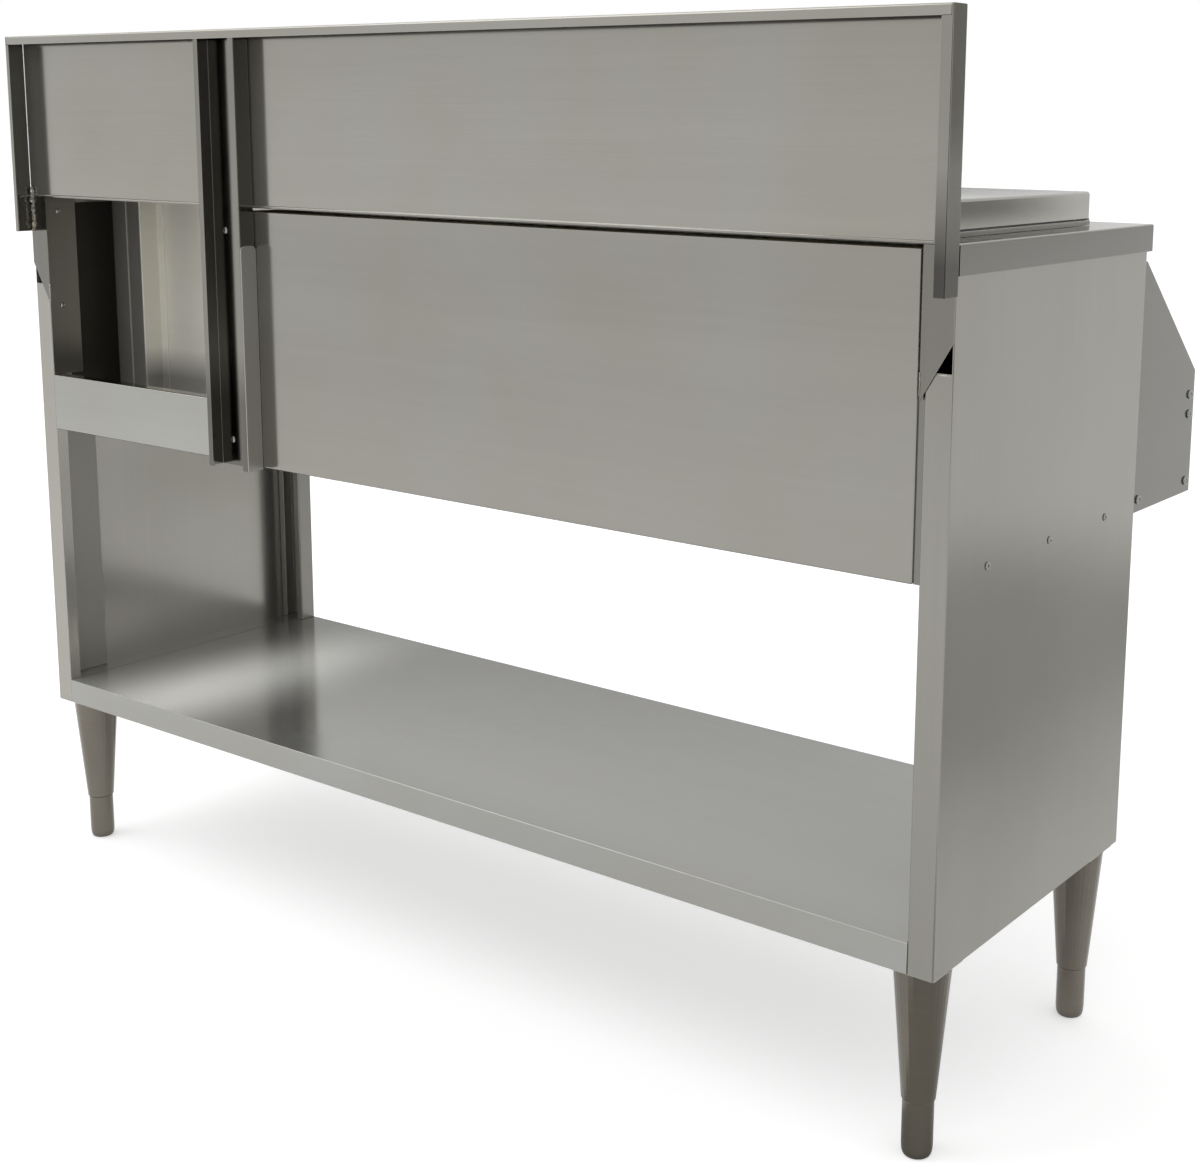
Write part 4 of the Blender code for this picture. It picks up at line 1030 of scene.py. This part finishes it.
def screw(name, sizes, radius, height, depth, lay, stands_for=()):
    """A pan head screw with a cross recess, whose seat is at the matrix and whose head looks along its Z."""
    profile = [(radius * across, height * up) for across, up in SCREW_HEAD]
    profile += [(sizes.shank_radius, 0), (sizes.shank_radius, -depth), (0, -depth - 0.0002)]
    mesh = bmesh.new()
    turn_profile(mesh, profile, sizes.round_sides)
    made = set_down(name, mesh, "bright fittings", "cabinet", stands_for)
    cutter = bmesh.new()
    reach, half = radius * sizes.recess_reach, sizes.recess_width / 2
    foot, top = height * (1 - sizes.recess_depth), height * 1.5
    arms = [(reach, half), (half, half), (half, reach)]
    outline = arms + [(-y, x) for x, y in arms] + [(-x, -y) for x, y in arms] + [(y, -x) for x, y in arms]
    rings = []
    for z, taper in ((foot, 0.62), (top, 1.18)):
        rings.append([cutter.verts.new((x * taper, y * taper, z)) for x, y in outline])
    close_tube(cutter, rings)
    cut_away(made, cutter)
    made.data.transform(lay)


class STATION_OT_screws(Operator):
    """Makes every screw with a domed head and a cross recess"""

    bl_idname = "station.screws"
    bl_label = "Screws"

    def execute(self, context):
        sizes = context.scene.station_fastenings
        pan = (sizes, sizes.pan_radius, sizes.pan_height)
        small = (sizes, sizes.small_radius, sizes.small_height)
        for side, sign in SIDE_OF.items():
            for number in range(1, 5):
                node = f"rail_screw_{side}_{number}"
                low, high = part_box(node)
                place = middle(node)
                place.x = high.x - sizes.pan_height if sign > 0 else low.x + sizes.pan_height
                screw(node + "_cross", *pan, SCREW_LENGTH, laid(place, "X", sign, 0.5 * number + sign), (node,))
        for number in range(1, 4):
            node = f"side_screw_{number}"
            place = middle(node)
            place.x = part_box(node)[0].x + sizes.small_height
            screw(node + "_cross", *small, SCREW_LENGTH, laid(place, "X", -1, 0.7 * number), (node,))
            place.x = -place.x
            screw(f"right_side_screw_{number}", *small, STUB_LENGTH, laid(place, "X", 1, 0.4 * number))
        for number in (1, 2):
            node = f"channel_screw_{number}"
            place = middle(node)
            place.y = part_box(node)[1].y - sizes.small_height
            outer = Vector((place.x + CHANNEL_SCREW_STEP, place.y, place.z))
            screw(f"channel_outer_screw_{number}", *small, STUB_LENGTH, laid(outer, "Y", 1, 0.4 * number))
            screw(node + "_cross", *small, SCREW_LENGTH, laid(place, "Y", 1, 0.9 * number), (node,))
        return {"FINISHED"}


class STATION_OT_rivets(Operator):
    """Makes the blind rivets of the bay angle with the pin end in each hollow"""

    bl_idname = "station.rivets"
    bl_label = "Blind rivets"

    def execute(self, context):
        sizes = context.scene.station_fastenings
        top, pin = RIVET_HEAD, sizes.mandrel_radius
        for number in (1, 2):
            node = f"bay_rivet_{number}"
            low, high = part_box(node)
            radius = (high.z - low.z) / 2
            profile = [
                (0, top * 0.55),
                (pin * 0.9, top * 0.50),
                (pin, top * 0.30),
                (pin + 0.0003, top * 0.25),
                (pin + 0.0005, top * 0.80),
                (pin + 0.0009, top),
                (radius * 0.78, top * 0.80),
                (radius * 0.95, top * 0.40),
                (radius, 0),
            ]
            mesh = bmesh.new()
            place = middle(node)
            place.x = low.x + top
            turn_profile(mesh, profile + RIVET_SHANK, sizes.round_sides, laid(place, "X", -1))
            set_down(node + "_blind", mesh, "bright fittings", "cabinet", (node,))
        return {"FINISHED"}


def weld_bead(mesh, ends, radius, pitch, seed, ragged=1.0):
    """Adds a rippled, slightly wandering bead along points; a ragged one wanders and swells more."""
    route, radii = [], []
    for start, stop in zip(ends, ends[1:]):
        start, stop = Vector(start), Vector(stop)
        count = max(3, int((stop - start).length / pitch * 3))
        for step in range(count):
            point = start.lerp(stop, step / count)
            wander = noise.noise_vector(point * 260 + Vector((seed, 0, 0))) * radius * 0.25 * ragged
            ripple = 0.5 + 0.5 * math.sin(math.tau * step / 3)
            lump = 1 + 0.30 * ragged * noise.noise(point * 420 + Vector((0, seed, 0)))
            route.append(point + wander)
            radii.append(radius * (0.72 + 0.22 * ripple) * lump)
    radii[0] *= 0.5
    radii[-1] *= 0.5
    sweep(mesh, route, radii, 8)


class STATION_OT_welds(Operator):
    """Lays the weld beads at the gussets, the backsplash ends and the tops of the legs"""

    bl_idname = "station.welds"
    bl_label = "Weld beads"

    def execute(self, context):
        sizes = context.scene.station_fastenings
        # Without a seed the beads would wander another way each time that Blender starts.
        noise.seed_set(WANDER_SEED)
        for side, sign in SIDE_OF.items():
            self.gusset(side, sign, sizes.bead, sizes.bead_pitch)
            self.seams(side, sign, sizes.bead)
            self.end_beads(side, sign, sizes.bead, sizes.bead_pitch)
            for end in ("front", "rear"):
                self.leg_top(end, side, sign, sizes.bead, sizes.bead_pitch)
        return {"FINISHED"}

    def gusset(self, side, sign, bead, pitch):
        """The two beads of a gusset, up its inner edge and along the top of the flange."""
        mesh = bmesh.new()
        low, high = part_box(f"rear_gusset_{side}")
        inner, outer = (high.x, low.x) if sign < 0 else (low.x, high.x)
        top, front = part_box(f"side_panel_{side}")[1].z - GUSSET_BEAD_DROP, low.y - 0.0006
        weld_bead(mesh, [(inner, high.y, low.z + 0.004), (inner, high.y, low.z + 0.024)], bead * 0.7, pitch, sign)
        ends = [(inner + sign * 0.004, front, top), (outer - sign * 0.002, front, top)]
        weld_bead(mesh, ends, bead * 0.6, pitch, 3 + sign)
        set_down(f"gusset_weld_{side}", mesh, "weld", "cabinet")

    def seams(self, side, sign, bead):
        """The faint seam up one end of the backsplash, and with the right one the seam along the deck."""
        mesh = bmesh.new()
        low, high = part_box("backsplash")
        corner, face = sign * (high.x + 0.0001), low.y + 0.0014 - 0.0006
        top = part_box(f"backsplash_end_{side}")[1].z - 0.003
        weld_bead(mesh, [(corner, face, low.z + 0.001), (corner, face, top)], bead * 0.45, END_SEAM_PITCH, 5 + sign)
        if sign > 0:
            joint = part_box("deck")[1].y + 0.0002
            ends = [(DECK_SEAM_HALF, joint, low.z), (-DECK_SEAM_HALF, joint, low.z)]
            weld_bead(mesh, ends, bead * 0.45, DECK_SEAM_PITCH, 3)
        set_down(f"backsplash_seam_{side}", mesh, "dim mill", "cabinet")

    def end_beads(self, side, sign, bead, pitch):
        """The beads of one backsplash end: a ragged one under its seam, then under, beside and above it."""
        mesh = bmesh.new()
        low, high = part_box(f"backsplash_end_{side}")
        inner, outer = (low.x, high.x) if sign > 0 else (high.x, low.x)
        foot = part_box("backsplash")[0].z
        seam, face = inner - sign * 0.0004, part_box("backsplash")[0].y + 0.0014
        ends = [(seam, face + 0.0016, low.z + 0.002), (seam, face + 0.0014, foot + 0.010)]
        weld_bead(mesh, ends, bead * 2.3, pitch * 1.5, 7 + sign, 2.6)
        ends = [(seam, face + 0.001, foot), (seam, high.y - 0.003, foot - 0.001)]
        weld_bead(mesh, ends, bead * 0.7, pitch, 9 + sign)
        x, y = outer - sign * 0.0022, high.y - 0.0026
        ends = [(x, y, low.z + 0.003), (x, y, low.z + FOOT_BEAD_REACH[side])]
        weld_bead(mesh, ends, bead * 1.1, pitch, 7 + sign)
        x, y = inner + sign * 0.004, high.y - 0.0012
        weld_bead(mesh, [(x, y, high.z - 0.009), (x, y, high.z - 0.0016)], bead * 0.8, pitch, 11 + sign)
        set_down(f"backsplash_weld_{side}", mesh, "weld", "cabinet")

    def leg_top(self, end, side, sign, bead, pitch):
        """The bead round the top of a leg."""
        low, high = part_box(f"leg_{end}_{side}")
        centre = middle(f"leg_{end}_{side}")
        radius = (high.x - low.x) / 2 - 0.0010
        ring = []
        for step in range(41):
            angle = math.tau * step / 40
            ring.append((centre.x + radius * math.cos(angle), centre.y + radius * math.sin(angle), high.z - 0.0002))
        mesh = bmesh.new()
        weld_bead(mesh, ring, bead, pitch, 17 + sign)
        set_down(f"leg_weld_{end}_{side}", mesh, "weld", "cabinet")


class STATION_OT_handle(Operator):
    """Makes the bow handle of the upper lid with its two seat flanges"""

    bl_idname = "station.handle"
    bl_label = "Lid handle"

    def execute(self, context):
        sizes = context.scene.station_fastenings
        low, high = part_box("upper_lid_handle")
        radius = (high.x - low.x) / 2
        x, corner = (low.x + high.x) / 2, HANDLE_CORNER
        rise = high.z - radius - corner
        ends = (low.y + radius, high.y - radius)
        route = [Vector((x, ends[0], low.z))]
        for y, start in ((ends[0] + corner, math.pi), (ends[1] - corner, math.pi / 2)):
            for step in range(11):
                angle = start - math.pi / 2 * step / 10
                route.append(Vector((x, y + corner * math.cos(angle), rise + corner * math.sin(angle))))
        route.append(Vector((x, ends[1], low.z)))
        mesh = bmesh.new()
        sweep(mesh, route, [radius] * len(route), 24)
        seat = [(radius + out, height) for out, height in HANDLE_SEAT]
        for y in ends:
            turn_profile(mesh, seat, sizes.round_sides, Matrix.Translation((x, y, low.z)))
        set_down("upper_lid_bow_handle", mesh, "bright fittings", "upper_lid", ("upper_lid_handle",))
        return {"FINISHED"}


class STATION_OT_stage(Operator):
    """Sets up the floor, the light and the camera"""

    bl_idname = "station.stage"
    bl_label = "Floor, light and camera"

    def execute(self, context):
        stage = context.scene.station_stage
        scene = context.scene
        mesh = bmesh.new()
        bmesh.ops.create_grid(mesh, x_segments=2, y_segments=2, size=stage.floor_half)
        data = bpy.data.meshes.new("floor")
        mesh.to_mesh(data)
        mesh.free()
        self.flat("floor", data, self.floor_paint(stage))
        self.sky(scene)
        self.lamp("top lamp", (1.9, 1.7, 3.0), (0.0, 0.0, 0.4), 2.4, stage.top_power)
        # This one lights the undershelf through the open front, in a beam that passes under the speed rail.
        front = self.lamp("front lamp", (0.40, -1.0, 0.60), (0.43, 0.24, 0.21), 0.12, stage.front_power)
        front.data.spread = math.radians(10)
        front.visible_glossy = False
        paints = {
            "dark card": self.matt_paint("dark card", stage.card_colour, CARD_EDGES),
            "grey card": self.matt_paint("grey card", stage.grey_colour, CARD_EDGES),
            "grey mat": self.matt_paint("grey mat", stage.mat_colour, MAT_EDGES),
            "leg mat": self.matt_paint("leg mat", stage.mat_colour, LEG_MAT_EDGES),
        }
        for name, paint, start, stop, foot, top in CARDS:
            self.card(name, [(*start, foot), (*stop, foot), (*stop, top), (*start, top)], paints[paint])
        for name, paint, (near, far), (low, high), z in MATS:
            self.card(name, [(near, low, z), (near, high, z), (far, high, z), (far, low, z)], paints[paint])
        scene.camera = self.camera(stage)
        scene.view_settings.view_transform = "Standard"
        return {"FINISHED"}

    def camera(self, stage):
        """The camera at the photograph's place."""
        lens = bpy.data.cameras.new("photograph camera")
        lens.sensor_width = SENSOR_WIDTH
        lens.lens = stage.lens
        lens.shift_x = stage.shift_across
        lens.shift_y = stage.shift_up
        lens.clip_end = FAR_CLIP
        made = bpy.data.objects.new("photograph camera", lens)
        made.location = stage.camera_place
        made.rotation_euler = Euler(stage.camera_turn)
        bpy.context.scene.collection.objects.link(made)
        return made

    def flat(self, name, data, paint):
        """A painted flat that belongs to the stage."""
        data.materials.append(paint)
        made = bpy.data.objects.new(name, data)
        bpy.context.scene.collection.objects.link(made)
        return made

    def card(self, name, corners, paint):
        """One card for the steel to mirror. It throws no shadow and isn't seen itself."""
        data = bpy.data.meshes.new(name)
        data.from_pydata(corners, [], [tuple(range(len(corners)))])
        made = self.flat(name, data, paint)
        made.visible_camera = False
        made.visible_diffuse = False
        made.visible_shadow = False

    def sky(self, scene):
        """A plain white surround."""
        world = bpy.data.worlds.new("white surround")
        world.use_nodes = True
        surround = world.node_tree.nodes["Background"]
        surround.inputs["Color"].default_value = (1, 1, 1, 1)
        surround.inputs["Strength"].default_value = 1.0
        scene.world = world

    def lamp(self, name, place, target, size, energy):
        """A square lamp that looks at a place and isn't seen itself."""
        light = bpy.data.lights.new(name, "AREA")
        light.size = size
        light.energy = energy
        made = bpy.data.objects.new(name, light)
        made.location = place
        made.rotation_euler = (Vector(place) - Vector(target)).to_track_quat("Z", "Y").to_euler()
        made.visible_camera = False
        bpy.context.scene.collection.objects.link(made)
        return made

    def floor_paint(self, stage):
        """Pale matt floor that looks white away from the station and keeps its shadow."""
        tree = FinishTree("pale floor")
        mottle = tree.cloud(tree.places["Object"], 3.0, 3.0, 0.6)
        base = tuple(stage.floor_colour)
        tree.join(tree.tint(mottle, shaded(base), shaded(base, 1.01)), tree.shader.inputs["Base Color"])
        tree.shader.inputs["Roughness"].default_value = 0.9
        tree.shader.inputs["Specular IOR Level"].default_value = 0.0
        path = tree.nodes.new("ShaderNodeLightPath").outputs
        mirrored = tree.sum("MAXIMUM", path["Is Glossy Ray"], path["Is Transmission Ray"])
        seen = tree.sum("MULTIPLY", path["Is Camera Ray"], stage.floor_lift)
        glow = tree.nodes.new("ShaderNodeEmission")
        tree.join(tree.sum("ADD", seen, tree.sum("MULTIPLY", mirrored, stage.floor_glow)), glow.inputs["Strength"])
        both = tree.nodes.new("ShaderNodeAddShader")
        tree.join(tree.shader.outputs[0], both.inputs[0])
        tree.join(glow.outputs[0], both.inputs[1])
        return tree.show(both)

    def matt_paint(self, name, base, edges):
        """Matt card with a slight mottle, that fades out towards the low or high ends of the axes named."""
        tree = FinishTree(name)
        places = tree.split(tree.places["Generated"])
        cover = 1.0
        for axis, low_end, high_end in edges:
            place = places["XYZ".index(axis)]
            if low_end:
                cover = tree.sum("MULTIPLY", cover, tree.spread(place, 0.0, 0.3))
            if high_end:
                cover = tree.sum("MULTIPLY", cover, tree.spread(tree.sum("SUBTRACT", 1.0, place), 0.0, 0.3))
        mottle = tree.cloud(tree.places["Object"], 8.0, 2.0, 0.6)
        tree.join(tree.tint(mottle, shaded(base), shaded(base, 1.1)), tree.shader.inputs["Base Color"])
        tree.shader.inputs["Roughness"].default_value = 0.9
        clear = tree.nodes.new("ShaderNodeBsdfTransparent")
        both = tree.nodes.new("ShaderNodeMixShader")
        tree.join(cover, both.inputs[0])
        tree.join(clear.outputs[0], both.inputs[1])
        tree.join(tree.shader.outputs[0], both.inputs[2])
        return tree.show(both)


WORK = (
    STATION_OT_finishes,
    STATION_OT_bends,
    STATION_OT_edges,
    STATION_OT_lids,
    STATION_OT_trays,
    STATION_OT_strips,
    STATION_OT_feet,
    STATION_OT_screws,
    STATION_OT_rivets,
    STATION_OT_welds,
    STATION_OT_handle,
    STATION_OT_stage,
)
SETTINGS = {
    "station_sheets": SheetSizes,
    "station_fastenings": FasteningSizes,
    "station_colours": SteelColours,
    "station_stage": StageSettings,
}


class STATION_PT_dressing(Panel):
    """Lists the settings and the work"""

    bl_idname = "STATION_PT_dressing"
    bl_label = "Cocktail station"
    bl_space_type = "VIEW_3D"
    bl_region_type = "UI"
    bl_category = "Cocktail station"

    def draw(self, context):
        layout = self.layout
        for name, group in SETTINGS.items():
            box = layout.box()
            box.label(text=group.__doc__.rstrip("."))
            for setting in group.__annotations__:
                box.prop(getattr(context.scene, name), setting)
        for work in WORK:
            layout.operator(work.bl_idname)


def register():
    """Makes the settings, the operators and the panel known."""
    for group in SETTINGS.values():
        bpy.utils.register_class(group)
    for name, group in SETTINGS.items():
        setattr(bpy.types.Scene, name, PointerProperty(type=group))
    for work in WORK:
        bpy.utils.register_class(work)
    bpy.utils.register_class(STATION_PT_dressing)


def unregister():
    """Takes them away again."""
    bpy.utils.unregister_class(STATION_PT_dressing)
    for work in reversed(WORK):
        bpy.utils.unregister_class(work)
    for name in SETTINGS:
        delattr(bpy.types.Scene, name)
    for group in SETTINGS.values():
        bpy.utils.unregister_class(group)


def main():
    """Dresses the station."""
    register()
    for work in WORK:
        group, name = work.bl_idname.split(".")
        getattr(getattr(bpy.ops, group), name)()
    bpy.context.view_layer.update()


if __name__ == "__main__":
    main()
